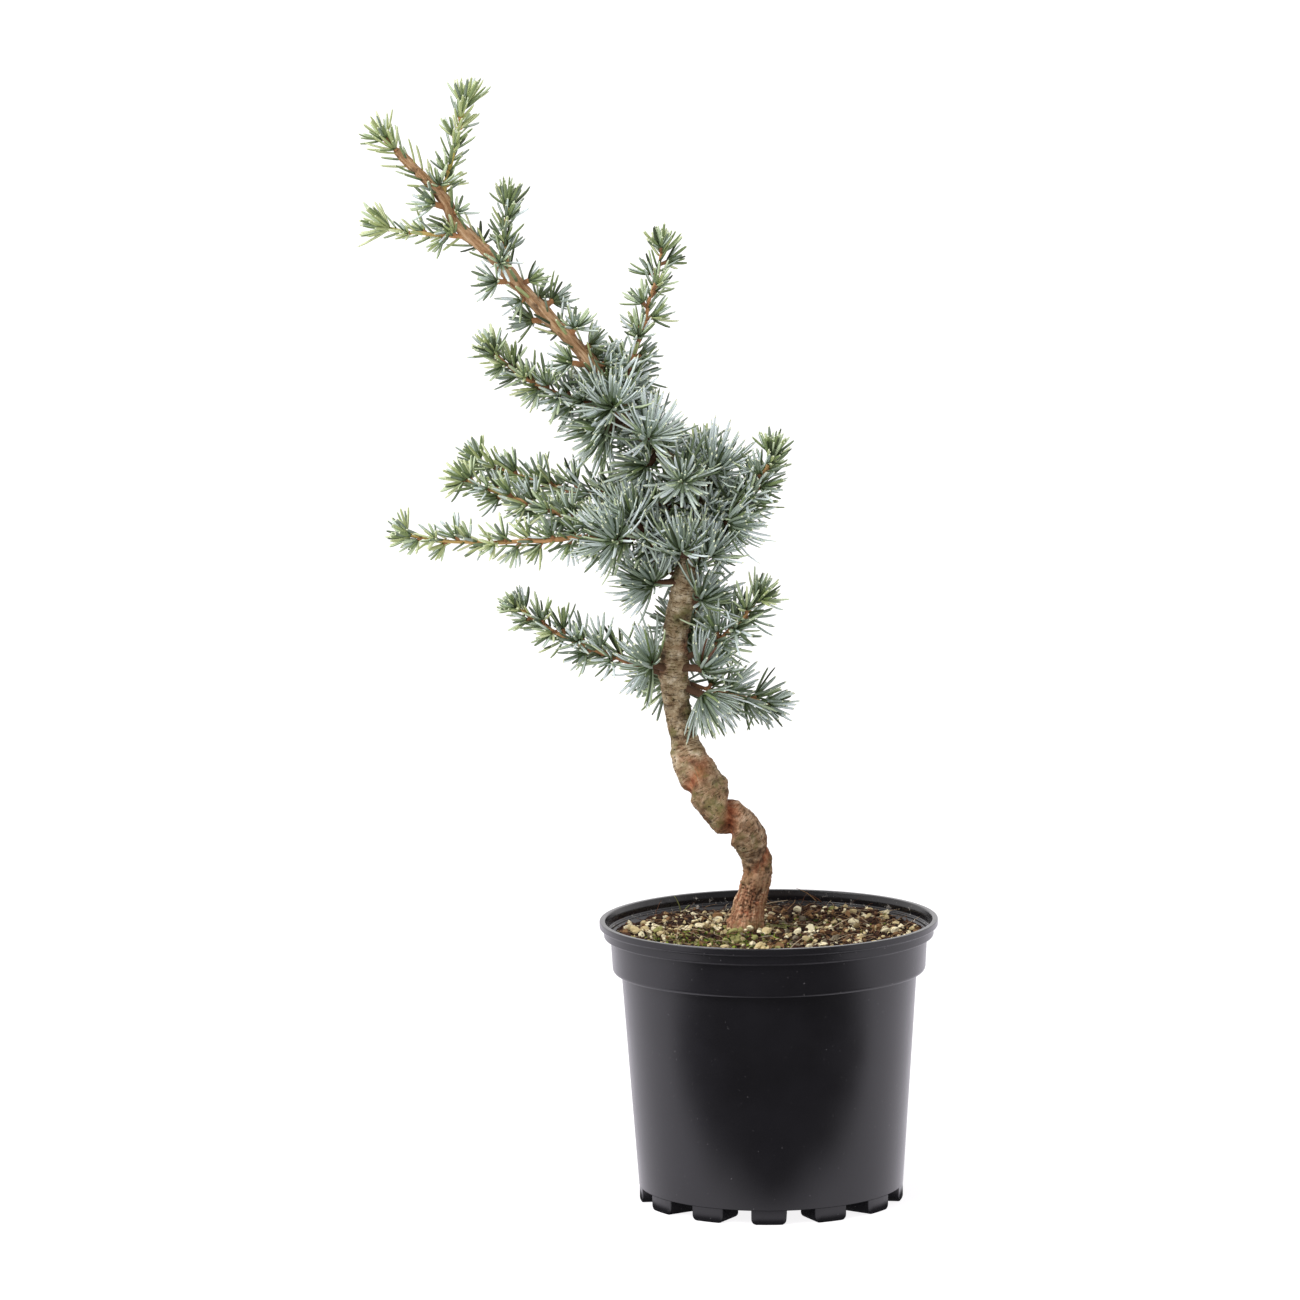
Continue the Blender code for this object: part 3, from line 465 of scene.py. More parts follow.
def bark_paint():
    """Old bark: olive brown, rusty in the wire's scar and at the foot, tan up the leader, and darkened
    in its deepest cracks by painted shade.
    """
    paint = Paint("bark", 0.80, 0.22)
    grain = paint.tag("grain", "Vector")

    def times(first, second):
        return paint.maths("MULTIPLY", first, second)

    def patches(scale, detail, rough, low, high):
        return paint.window(paint.noise(grain, scale, detail, rough), low, high)

    cloud = paint.noise(grain, 170.0, 6.0, 0.70)
    rings = paint.noise(paint.stretched(grain, (0.16, 0.16, 1)), 1300.0, 5.0, 0.65)
    streaks = paint.noise(paint.stretched(grain, (1, 1, 0.12)), 700.0, 6.0, 0.68)
    algae = times(patches(62.0, 5.0, 0.72, 0.50, 0.62), 0.72)
    old = paint.ramp(cloud, (0.30, 92, 70, 46), (0.42, 144, 120, 90), (0.54, 186, 166, 134),
                     (0.70, 228, 214, 190))
    warm = paint.ramp(cloud, (0.30, 82, 50, 34), (0.50, 138, 94, 68), (0.72, 190, 148, 118))
    tan = paint.ramp(streaks, (0.30, 100, 68, 42), (0.42, 160, 120, 84), (0.55, 196, 158, 120),
                     (0.72, 228, 202, 168))
    rust = paint.ramp(cloud, (0.28, 70, 32, 18), (0.46, 140, 78, 50), (0.60, 182, 118, 82),
                      (0.76, 206, 156, 118))
    flaky = paint.ramp(streaks, (0.28, 72, 42, 30), (0.40, 142, 98, 72), (0.52, 194, 146, 112),
                       (0.68, 232, 200, 168))
    warmth = paint.maths("MAXIMUM", patches(48.0, 4.0, 0.6, 0.54, 0.68),
                         times(paint.tag("knee"), 0.55))
    flaky = paint.mixed(paint.window(cloud, 0.52, 0.66), flaky, (180, 108, 76))
    colour = old
    for share, over in (
            (warmth, warm), (paint.window(rings, 0.53, 0.63), (84, 64, 42)),
            (algae, (104, 104, 58)), (times(patches(640.0, 4.0, 0.6, 0.60, 0.66), 0.85), (50, 40, 28)),
            (paint.tag("leader"), tan),
            (paint.tag("foot"), paint.mixed(algae, flaky, (116, 108, 70))),
            (times(paint.tag("scar"), paint.window(streaks, 0.30, 0.48)), rust),
            # the last mark is painted shade, darkening the deepest cracks of the relief
            (paint.tag("hollow"), (46, 30, 20))):
        colour = paint.mixed(share, colour, over)
    paint.set("Base Color", colour)
    paint.bump(paint.noise(grain, 1500.0, 6.0, 0.72), 0.0005, 0.9)
    return paint.material


def twig_paint():
    """Young wood: yellow green at the tips, orange brown behind, dark brown when old."""
    paint = Paint("twig_bark", 0.75, 0.28)
    grain = paint.tag("grain", "Vector")
    age = paint.maths("MULTIPLY_ADD", paint.noise(grain, 900.0, 4.0, 0.6), 0.24, paint.tag("age"))
    paint.set("Base Color", paint.ramp(
        age, (0.14, 190, 182, 92), (0.34, 194, 168, 100), (0.50, 204, 156, 108),
        (0.62, 178, 128, 88), (0.84, 132, 96, 68), (1.00, 92, 66, 48)))
    paint.bump(paint.noise(grain, 1800.0, 4.0, 0.65), 0.00025, 0.8)
    return paint.material


# name: colours of a needle's face, bloomed and lightened by a painted highlight, and of its back,
# greener and darkened by painted shade
TONES = {
    "blue": ((226, 237, 237), (148, 161, 150)),
    "steel": ((206, 219, 209), (122, 136, 115)),
    "green": ((199, 214, 177), (122, 139, 90)),
    "fresh": ((220, 228, 182), (172, 184, 126)),
    # a dark copy of the needles' colours: painted shade, for needles far inside the crown
    "deep": ((112, 128, 96), (60, 72, 44)),
    "dead": ((140, 100, 72), (92, 60, 42)),
}
TONE_NAMES = list(TONES)
# the needles' foot, and the inner part of the pale tones, are greener and darker than the rest: partly
# their own colour, partly painted shade of the heart of a tuft
PALE_TONES = 3              # how many of them turn green towards their foot
OTHERS = {"needle_foot": (66, 74, 36), "young_needle_foot": (176, 172, 92),
          "needle_tip": (219, 225, 192), "inner_needle_face": (168, 186, 154),
          "inner_needle_back": (98, 114, 78)}
FOOT_SLOT, YOUNG_FOOT_SLOT, TIP_SLOT, INNER_SLOT = (2 * len(TONES) + index for index in range(4))


def needle_paints():
    paints = []
    for name, (face, back) in TONES.items():
        paints.append(plain_paint(name + "_needle_face", face, 0.50, 0.40))
        paints.append(plain_paint(name + "_needle_back", back, 0.45, 0.40))
    return paints + [plain_paint(name, colour, 0.5, 0.35) for name, colour in OTHERS.items()]


# ---- trunk ----------------------------------------------------------------------------

def trunk_station(height):
    """Smooth interpolation of x, y and radius between the trunk's stations."""
    last = len(TRUNK) - 1
    index = 0
    while index < last - 1 and TRUNK[index + 1].height < height:
        index += 1
    low, high = TRUNK[index], TRUNK[index + 1]
    before, after = TRUNK[max(index - 1, 0)], TRUNK[min(index + 2, last)]
    span = high.height - low.height
    t = min(max((height - low.height) / span, 0.0), 1.0)
    values = []
    for field in ("x", "y", "radius"):
        a, b, c, d = (getattr(station, field) for station in (before, low, high, after))
        slope_b = (c - a) / (high.height - before.height) * span
        slope_c = (d - b) / (after.height - low.height) * span
        values.append(b * (2 * t ** 3 - 3 * t ** 2 + 1) + slope_b * (t ** 3 - 2 * t ** 2 + t)
                      + c * (3 * t ** 2 - 2 * t ** 3) + slope_c * (t ** 3 - t ** 2))
    return Station(height, *values)


def station_place(station):
    return station.x, station.y, station.height


PATH = [trunk_station(height) for height in np.linspace(TRUNK[0].height, TRUNK[-1].height, 901)]
PATH_POINTS = np.array([station_place(station) for station in PATH])
PATH_RADII = np.array([station.radius for station in PATH])
PATH_STEPS = np.linalg.norm(np.diff(PATH_POINTS, axis=0), axis=1)
PATH_DISTANCES = np.concatenate(([0.0], np.cumsum(PATH_STEPS)))
PATH_LENGTH = PATH_DISTANCES[-1]


def path_centre(distances):
    """Centre at distances along the trunk, also just below its cut."""
    centre = np.stack([np.interp(distances, PATH_DISTANCES, axis) for axis in PATH_POINTS.T], -1)
    centre[:, 2] += np.minimum(distances, 0.0)
    return centre


def on_path(distances, reach=0.002):
    """Centre, radius and direction at distances along the trunk."""
    along = unit(path_centre(distances + reach) - path_centre(distances - reach))
    return path_centre(distances), np.interp(distances, PATH_DISTANCES, PATH_RADII), along


def scar_shape(distance, angle):
    """Groove, lips and swellings that the wire left: share of the radius, and its mask."""
    turns = (distance - SCAR_START) / SCAR_PITCH - (angle + math.pi / 2) / math.tau
    ripple = np.stack((np.cos(angle) * 3, np.sin(angle) * 3, distance * 130), -1)
    across = (turns - np.round(turns)) * SCAR_PITCH + 0.0011 * noise(ripple)
    strength = np.maximum(bell(distance - SCAR_MIDDLE, SCAR_REACH),
                          0.25 * bell(distance - SCAR_START, 0.012))
    uneven = 1 + 0.25 * noise(ripple * 1.7 + 5.0)
    groove = SCAR_DEPTH * uneven * np.exp(-np.abs(across / SCAR_WIDTH) ** 2.4)
    lip = SCAR_LIP * bell(np.abs(across) - 0.0066, 0.0026)
    swelling = SWELLING * (1 - np.cos(math.tau * across / SCAR_PITCH)) / 2
    mask = bell(across, SCAR_WIDTH * 1.25) * np.minimum(1.0, strength * 2.2)
    return 1 + strength * (lip + swelling - groove), mask


# bulges, knots and old branch stubs on the trunk: place, size and height, in millimetres
KNOTS = [
    (-24.5, -2, 237.2, 4.2, 2.2), (-54.5, 0, 253.2, 3.4, 1.4), (-31, -4, 210.5, 4, 1),
    (-2, -1, 192.5, 2.2, 1.1), (-59, 2, 276.5, 1.4, 0.9), (-57, 0, 264, 1.3, 0.8),
    (-44, -4, 296, 1.6, 0.8), (-12, -6, 208, 1.2, 0.7), (-31, -12, 230, 1.2, 0.8),
    (-14, -5, 179, 1.4, 0.9), (-42, 12, 270, 1.8, 0.9), (-23, 8, 225, 1.6, 0.9),
    (-50, 10, 315, 1.8, 0.8), (-40, -6, 338, 1.3, 0.7),
]
COLLAR_SIZE, COLLAR_HEIGHT = 0.0052, 0.0011     # of the swelling where a limb springs


def bumps_at(surface, collars):
    """Height of the knots and of the swellings round the limbs."""
    bumps = [(*place, COLLAR_SIZE, COLLAR_HEIGHT) for place in collars] + [mm(row) for row in KNOTS]
    return sum(height * bell(np.linalg.norm(surface - np.array(place), axis=-1), size)
               for *place, size, height in bumps)


def build_trunk(collars):
    """One skin with the relief of bark: scars, cracks, wrinkles, flakes and furrows."""
    distances = np.linspace(-TRUNK_SUNK, PATH_LENGTH, TRUNK_RINGS)
    centre, radius, along = on_path(distances)
    across = unit(np.array((1.0, 0, 0)) - along * along[:, :1])
    outward, angle = ring_spokes(across, np.cross(along, across), TRUNK_SIDES)
    s, a = np.meshgrid(distances, angle, indexing="ij")
    leader = np.clip((s - LEADER_START) / LEADER_BLEND, 0, 1)
    foot = np.clip((FOOT_END - s) / FOOT_BLEND, 0, 1)
    middle = (1 - foot) * (1 - leader)
    r = radius[:, None] * (1 - LEADER_SLIMMED * leader)
    share, scar = scar_shape(s, a)
    lobes = 0.5 + 0.5 * np.cos(FLARE_LOBES * a + FLARE_TURN)
    share = share + FLARE * (0.35 + 0.65 * lobes) * np.exp(-np.maximum(s, 0) / FLARE_HEIGHT)
    grain = np.stack((np.cos(a) * r, np.sin(a) * r, s), -1)
    cracks = layered(grain * 230, 4, 0.6)

    def bent(across, along, by):
        """The grain at a scale across and along the trunk, thrown about by the cracks."""
        return grain * np.array((across, across, along)) + by * cracks[..., None]

    wrinkles = 0.00028 * noise(bent(120, 1250, 2.0)) + 0.00034 * noise(bent(55, 430, 0.8) + 9.0)
    warts = 0.0007 * np.clip(noise(grain * 640 + 40.0) - 0.62, 0, 1)
    flakes = 0.0011 * np.round(layered(bent(430, 120, 1.6), 3, 0.6) * 2.4) / 2.4
    furrows = 0.00030 * layered(bent(470, 52, 0.9), 2, 0.6)
    relief = 0.00036 * cracks + middle * (wrinkles + warts) + foot * flakes + leader * furrows
    # mask of painted shade: the deeper a crack of the relief, the darker it is painted
    hollow = np.clip((-0.10 - relief / 0.0009) * 1.5, 0, 0.8)
    relief += bumps_at(centre[:, None] + outward * (r * share)[..., None], collars)
    relief *= np.minimum(1.0, r / 0.0045)
    tip = np.clip((PATH_LENGTH - s) / 0.004, 0.25, 1)
    surface = centre[:, None] + outward * ((r * share + relief) * tip)[..., None]
    batch = Batch()
    batch.add(surface, *skin_loops(TRUNK_RINGS, TRUNK_SIDES), 0, grain=grain.reshape(-1, 3),
              scar=scar.ravel(), foot=foot.ravel(), leader=leader.ravel(), hollow=hollow.ravel(),
              knee=bell(s - SCAR_MIDDLE, 0.036).ravel())
    batch.build("trunk_bark", "bark", ["trunk"], [bark_paint()])


# ---- limbs ----------------------------------------------------------------------------

class Line:
    """A limb's centre line, from its parent's middle to its tip."""

    def __init__(self, base, reach, bend=(0, 0, 0)):
        self.base, self.reach, self.bend = Vector(base), Vector(reach), Vector(bend)
        self.length = self.reach.length

    def point(self, share):
        return self.base + self.reach * share + self.bend * (4 * share * (1 - share))

    def direction(self, share):
        return (self.reach + self.bend * (4 - 8 * share)).normalized()

    def points(self, shares):
        """Places and directions at an array of shares."""
        base, reach, bend = (np.array(part) for part in (self.base, self.reach, self.bend))
        t = shares[:, None]
        return base + reach * t + bend * (4 * t * (1 - t)), unit(reach + bend * (4 - 8 * t))


def turned_away(direction, splay, spin):
    """The direction leaned over by `splay` degrees, on the side given by `spin`."""
    side = direction.cross(Vector((0, 0, 1)))
    if side.length < 0.05:
        side = direction.cross(Vector((0, 1, 0)))
    side.normalize()
    up = side.cross(direction).normalized()
    lean = math.radians(splay)
    outward = side * math.cos(spin) + up * math.sin(spin)
    return (direction * math.cos(lean) + outward * math.sin(lean)).normalized()


def limb_base(limb, lines):
    """Where a limb springs from, and its parent's radius there."""
    if limb.parent in lines:
        return lines[limb.parent].point(limb.at), 0.0022
    station = TRUNK[-1] if limb.parent == "tip" else trunk_station(limb.at)
    return Vector(station_place(station)), station.radius


def grow_tube(batch, line, start, radii, ages, sides=10, step=0.0009, collar=0.0, rough=0.10,
              scales=0.0, wander=0.0):
    """A round limb with relief, from a share of its line to the tip."""
    rings = max(4, int(line.length * (1 - start) / step))
    share = np.linspace(start, 1.0, rings)
    centre, along = line.points(share)
    travelled = (share - start) * line.length
    if wander:
        drift = np.stack([noise(centre * 75 + 31 * axis) for axis in range(3)], -1)
        fade = np.clip(travelled / 0.01, 0, 1) * np.clip((1 - share) * 6, 0, 1)
        centre = centre + drift * wander * fade[:, None]
    upright = np.abs(along[:, 2:]) > 0.98
    side = unit(np.cross(along, np.where(upright, (0.0, 1, 0), (0.0, 0, 1))))
    outward, angle = ring_spokes(side, np.cross(side, along), sides)
    done = (share - start) / (1 - start)
    radius = blend(radii, done) * (1 + collar * np.exp(-travelled / 0.0022))
    grain = np.stack((np.cos(angle) * radius[:, None], np.sin(angle) * radius[:, None],
                      np.repeat(travelled[:, None], sides, 1) + line.base.z * 7), -1)
    size = radius[:, None] * (1 + rough * layered(grain * np.array((700, 700, 330)), 2, 0.5))
    size *= 1 + scales * np.cos(travelled * math.tau / 0.0013)[:, None]
    size[-1] *= 0.45
    batch.add(centre[:, None] + outward * size[..., None], *skin_loops(rings, sides), 0,
              grain=grain.reshape(-1, 3), age=np.repeat(blend(ages, done), sides))


def grow_stub(batch, base, reach, radii, ages, start=0.0, **looks):
    """A short scaly tube that carries a tuft."""
    stub = Line(base, reach)
    grow_tube(batch, stub, start, radii, ages, **{"sides": 8, "step": 0.0005, "scales": 0.08, **looks})
    return stub


BUD_POINTS, BUD_LOOPS = ball(2)


def grow_bud(batch, place, direction, size, age):
    """A scaly bud at a tuft's heart."""
    turn = np.array(direction.to_track_quat("Z", "Y").to_matrix())
    shape = BUD_POINTS * np.array((1, 1, 1.25)) * (1 + 0.16 * noise(BUD_POINTS * 4.0))[:, None]
    points = np.array(place) + (shape * size) @ turn.T
    batch.add(points, BUD_LOOPS, np.full(len(BUD_LOOPS), 3), 0, grain=points,
              age=np.full(len(points), age))


# ---- needles --------------------------------------------------------------------------

def needle_faces():
    """Corners, sizes, rings and sides of one needle's faces: a four-sided spike."""
    rings = len(NEEDLE_RINGS)
    faces = []
    for ring, corner in product(range(rings), range(4)):
        low, after = ring * 4, (corner + 1) % 4
        over = [low + 4 + after, low + 4 + corner] if ring < rings - 1 else [rings * 4]
        faces.append(([low + corner, low + after, *over], ring, corner))
    faces.append(([3, 2, 1, 0], 0, 2))
    return faces


class Foliage:
    """Needles of one kind, gathered before they become one mesh."""

    def __init__(self):
        self.rows = []

    def add(self, root, direction, lift, length, tone, width):
        """`lift` is how far the needle's end is moved off its straight line."""
        self.rows.append((*root, *direction, *lift, length, width, TONE_NAMES.index(tone)))

    def columns(self, guards):
        """The needles that stay inside the box and clear of the limbs, as arrays."""
        rows = np.array(self.rows, float)
        spot, radii = guards
        root, way, lift = rows[:, 0:3], rows[:, 3:6] * rows[:, 9:10], rows[:, 6:9]
        tip = root + way + lift
        keep = ((tip > np.array(CAD_BOX[0])) & (tip < np.array(CAD_BOX[1]))).all(1)
        for share in (0.25, 0.5, 0.75, 1.0):
            place = root + way * share + lift * share ** 2
            for first in range(0, len(place), 1500):
                some = place[first:first + 1500]
                gap = np.linalg.norm(some[:, None] - spot[None], axis=-1) - radii[None]
                keep[first:first + 1500] &= gap.min(1) > 0.0002
        return np.split(rows[keep], (3, 6, 9, 10, 11), axis=1)

    def build(self, name, paints, nodes, guards):
        root, direction, lift, length, width, tone = self.columns(guards)
        tone = tone[:, 0].astype(int)
        face = lift - direction * np.sum(lift * direction, 1, keepdims=True)
        face = unit(face + 1e-7 * np.array((0.3, 0.5, 0.8)))
        side = np.cross(direction, face)
        at = np.array(NEEDLE_RINGS)[:, None]
        centre = root[:, None] + (direction * length)[:, None] * at + lift[:, None] * at ** 2
        wide = width[:, None] * np.array(NEEDLE_SHAPE)[:, None]
        thick = face[:, None] * wide * NEEDLE_THICKNESS
        wide = side[:, None] * wide
        corners = np.stack((centre + wide, centre + thick, centre - wide, centre - thick), 2)
        tip = root + direction * length + lift
        points = np.concatenate((corners.reshape(len(root), -1, 3), tip[:, None]), 1)
        faces = needle_faces()
        fresh = TONE_NAMES.index("fresh")
        slots = np.zeros((len(root), len(faces)), int)
        for index, (_, ring, corner) in enumerate(faces):
            # the two sides towards which the needle bends take the face colour with its painted
            # highlight, the other two the back colour with its painted shade
            slot = 2 * tone + (corner > 1)
            # foot ring, and the inner ring of the pale tones: greener and darker, partly painted shade
            # of the tuft's heart
            if ring == 0:
                slot = np.where(tone == fresh, YOUNG_FOOT_SLOT, FOOT_SLOT)
            if ring == 1:
                slot = np.where(tone < PALE_TONES, INNER_SLOT + slot % 2, slot)
            if ring == len(NEEDLE_RINGS) - 1:
                slot = np.where(tone <= fresh, TIP_SLOT, slot)
            slots[:, index] = slot
        pattern = np.concatenate([loop for loop, _, _ in faces])
        loops = pattern + np.arange(len(root))[:, None] * points.shape[1]
        batch = Batch()
        batch.add(points, loops, np.tile([len(loop) for loop, _, _ in faces], len(root)),
                  slots.ravel())
        batch.build(name, "needles", nodes, paints)


# the things that grow together: needles, thin wood and buds
Growth = namedtuple("Growth", "needles twigs buds")


def pick_tone(rng, weights):
    """A tone's name, drawn by its weight."""
    return rng.choices(list(weights), list(weights.values()))[0]


def gauss_vector(rng):
    return Vector((rng.gauss(0, 1), rng.gauss(0, 1), rng.gauss(0, 1)))


def grow_fan(growth, place, ahead, rng, count, spread, length, weights, curl=0.15,
             core=0.0012, inner=0.62, width=NEEDLE_HALF_WIDTH, clump=0.0):
    """Needles that fan out evenly from a bud, the middle ones shorter, and bend ahead."""
    low = math.cos(math.radians(spread))
    spin = rng.uniform(0, math.tau)
    phase = rng.uniform(0, math.tau)
    for index in range(count):
        spin += GOLDEN_ANGLE
        height = 1 - (1 - low) * (index + 0.4) / count
        splay = math.degrees(math.acos(height)) + rng.uniform(-9, 9)
        around = spin + clump * math.sin(5 * spin + phase + 1.5 * height)
        direction = turned_away(ahead, splay, around + rng.uniform(-0.22, 0.22))
        outer = min(1.0, max(0.0, splay / spread))
        size = length * (inner + (1 - inner) * outer ** 0.6) * rng.uniform(0.72, 1.08)
        lift = (ahead - direction * ahead.dot(direction)) * size * curl * rng.uniform(0.3, 1.7)
        lift += (gauss_vector(rng) + Vector((0, 0, 1.6))) * size * 0.03
        tone = pick_tone(rng, weights)
        growth.needles.add(place + direction * core, direction, lift, size, tone,
                           width * rng.uniform(0.88, 1.12))


def grow_single(growth, place, stem, radius, rng, spin, splay, length, weights):
    """One needle on a stem, which leans forward and bends back along it."""
    direction = turned_away(stem, splay + rng.uniform(-12, 12), spin)
    outward = (direction - stem * direction.dot(stem)).normalized()
    size = length * rng.uniform(0.70, 1.06)
    lift = (stem - direction * stem.dot(direction)) * size * rng.uniform(0.02, 0.16)
    growth.needles.add(place + outward * radius, direction, lift, size, pick_tone(rng, weights),
                       NEEDLE_HALF_WIDTH * rng.uniform(0.90, 1.12))


# weights of the needles' tones
BLUE_GREEN = {"blue": 6, "steel": 5, "green": 2, "deep": 1.5}
GREY_GREEN = {"steel": 5, "green": 4, "blue": 3, "deep": 2}
GREEN = {"green": 6, "fresh": 2.5, "steel": 2.5, "deep": 1.2}
PALE_GREEN = {"fresh": 5, "green": 4, "steel": 3, "deep": 0.5}
FRESH = {"fresh": 6, "green": 4, "steel": 1}
ROSETTE_TONES = {"blue": 8, "steel": 5.5, "green": 1.2, "deep": 1.8, "dead": 0.03}
# for rosettes that lie in the crown's shade: more of the dark tone of painted shade
SHADED_TONES = {"blue": 2, "steel": 6, "green": 3, "deep": 3.5, "dead": 0.03}

# How a long shoot grows, in millimetres and degrees.  Each pair is for its foot and its
# tip.  `needles` is the number in a tuft, and `fan` is a tuft's spread.
Habit = namedtuple("Habit", "spacing stub needles length splay fan singles single_length "
                            "single_splay brush brush_length old young ages flat", defaults=(0,))
DENSE = Habit(4.5, (4, 1.6), (12, 8), (20.5, 13.5), (60, 44), (60, 46), 1.6, (20.5, 13),
              (52, 40), 26, 14.5, BLUE_GREEN, GREEN, (0.56, 0.26))
HABITS = {
    "top_right": Habit(7, (1.4, 1), (6, 6), (12, 12.2), (46, 38), (36, 30), 1.4, (13.8, 14),
                       (46, 36), 32, 17.8, GREEN, FRESH, (0.24, -0.06)),
    "top_left": Habit(9, (1.8, 1), (8, 6), (13, 11.8), (54, 44), (44, 34), 2.1, (13, 12.5),
                      (46, 38), 34, 19, GREEN, FRESH, (0.46, 0.00)),
    "top_middle": Habit(6.4, (1.6, 1), (9, 7), (14.2, 12.8), (52, 40), (50, 36), 1.5, (14, 13.5),
                        (48, 38), 30, 16.8, GREY_GREEN, GREEN, (0.42, 0.06)),
    "upper_right": Habit(6.2, (4.6, 3), (13, 11), (14.8, 13.2), (62, 50), (60, 50), 2.1,
                         (13.5, 12.5), (46, 38), 26, 15.5, GREY_GREEN, GREEN, (0.58, 0.36)),
    "upper_left": Habit(4.6, (2.6, 1.4), (14, 11), (18, 13.5), (58, 46), (60, 46), 1.4, (17, 13),
                        (50, 38), 28, 15.5, GREY_GREEN, GREEN, (0.66, 0.36)),
    "far_left": Habit(6.6, (2.4, 1.4), (12, 9), (15, 12.6), (60, 50), (60, 48), 2.4, (14.5, 11.5),
                      (48, 38), 24, 14, GREY_GREEN, PALE_GREEN, (0.50, 0.20), 0.9),
    "far_left_upper": DENSE._replace(needles=(12, 9), length=(19, 13.5), single_length=(18, 13),
                                     old=GREY_GREEN, young=PALE_GREEN, stub=(3, 1.4)),
    "middle_left_rear": DENSE._replace(needles=(12, 9), length=(20.5, 13.8), old=GREY_GREEN,
                                       young=PALE_GREEN),
    "lowest_right": DENSE._replace(needles=(11, 8), length=(24.5, 16.5), young=BLUE_GREEN,
                                   single_length=(24, 16.5), brush_length=18.5, spacing=5),
    "middle_right": DENSE._replace(needles=(14, 11), length=(22, 13.5), brush=34, singles=1.3,
                                   single_length=(22, 13)),
    "lower_right": DENSE._replace(needles=(14, 11), length=(22.5, 15), brush=34, singles=1.4,
                                  brush_length=16.5),
    "lower_left": DENSE._replace(length=(19.5, 12.2), single_length=(19, 12), spacing=4.7,
                                 brush_length=13.5),
}


def own_random(limb):
    return random.Random(SEED + sum(ord(letter) for letter in limb.name))


def grow_long_shoot(growth, limb, line, start, radius):
    """Stem, tufts all round it, single needles between them, and a brush at its tip."""
    rng = own_random(limb)
    habit = HABITS.get(limb.name, DENSE)
    old, young = habit.old, habit.young
    grow_tube(growth.twigs, line, start, (radius, STEM_END * BOUGH_TAPER), habit.ages,
              wander=0.0009, collar=0.0 if limb.bare else 0.7)
    span = line.length * (1 - start)
    spin = rng.uniform(0, math.tau)
    count = max(3, round(1000 * span / habit.spacing))
    for index in range(count):
        along = (index + 0.5 + rng.uniform(-0.25, 0.25)) / count
        share = blend((start, 1), along)
        spin += GOLDEN_ANGLE
        around = spin
        if rng.random() < habit.flat:
            around = math.pi * (0.5 + index % 2) + rng.uniform(-0.6, 0.6)
        weights = old if rng.random() > along ** 1.2 else young
        ahead = turned_away(line.direction(share),
                            blend(habit.splay, along) + rng.uniform(-8, 8), around)
        stub = radius * 0.5 + blend(habit.stub, along) / 1000 * rng.uniform(0.7, 1.3)
        place = line.point(share) + ahead * stub
        grow_stub(growth.twigs, line.point(share), place - line.point(share), (0.0010, 0.0012),
                  (habit.ages[0] + 0.05, habit.ages[0] + 0.1), sides=7)
        grow_bud(growth.buds, place, ahead, 0.0012, habit.ages[0] + 0.1)
        grow_fan(growth, place, ahead, rng, round(blend(habit.needles, along) * rng.uniform(0.8, 1.25)),
                 blend(habit.fan, along), blend(habit.length, along) / 1000, weights, inner=0.80)
    for index in range(round(1000 * span / habit.singles)):
        along = (index + 0.5) * habit.singles / 1000 / span
        share = blend((start, 1), along)
        spin += GOLDEN_ANGLE
        grow_single(growth, line.point(share), line.direction(share), radius * 0.7, rng, spin,
                    blend(habit.single_splay, along), blend(habit.single_length, along) / 1000,
                    old if rng.random() > along else young)
    tip, ahead = line.point(1.0), line.direction(1.0)
    grow_fan(growth, tip - ahead * 0.0030, ahead, rng, habit.brush, 54, habit.brush_length / 1000,
             young, inner=0.92, core=0.0008, width=NEEDLE_HALF_WIDTH * 1.05)
    grow_bud(growth.buds, tip, ahead, 0.0012, 0.1)


# tufts up the trunk and the leader, in millimetres: height, way out, needles, their length
# and their tones
LEADER_TUFTS = [
    (569, (1, -4, 6), 12, 12, GREEN), (556, (4, -5, 3), 9, 11.5, GREY_GREEN),
    (550, (-6, -4, -1), 12, 14, GREY_GREEN), (529, (1, -8, 2), 16, 14, GREY_GREEN),
    (517, (6, -1, 3), 14, 12.5, GREY_GREEN), (511, (-6, -5, -3), 13, 14, GREY_GREEN),
    (480, (8, -3, 5), 16, 14, GREY_GREEN), (470, (8, -4, 4), 16, 15, BLUE_GREEN),
    (462, (-7, -7, 1), 15, 15, BLUE_GREEN), (508, (3, 7, 2), 14, 14, GREY_GREEN),
    (490, (-3, 8, 2), 16, 14.5, GREY_GREEN), (474, (3, 8, 2), 16, 15, BLUE_GREEN),
    (538, (-2, 6, 2), 13, 13.5, GREY_GREEN), (590, (-4, -2, 4.5), 16, 16, FRESH),
    (434, (-1, -9, 4), 14, 16, BLUE_GREEN), (424, (3, -9, 2), 15, 16.5, BLUE_GREEN),
    (414, (5, -9, 3), 15, 17, BLUE_GREEN), (401, (-3, -9, 3), 15, 18, BLUE_GREEN),
    (388, (6, -8, 4), 15, 18.5, BLUE_GREEN), (377, (-5, -9, 4), 16, 19, BLUE_GREEN),
    (365, (5, -9, 4), 16, 19, BLUE_GREEN),
]


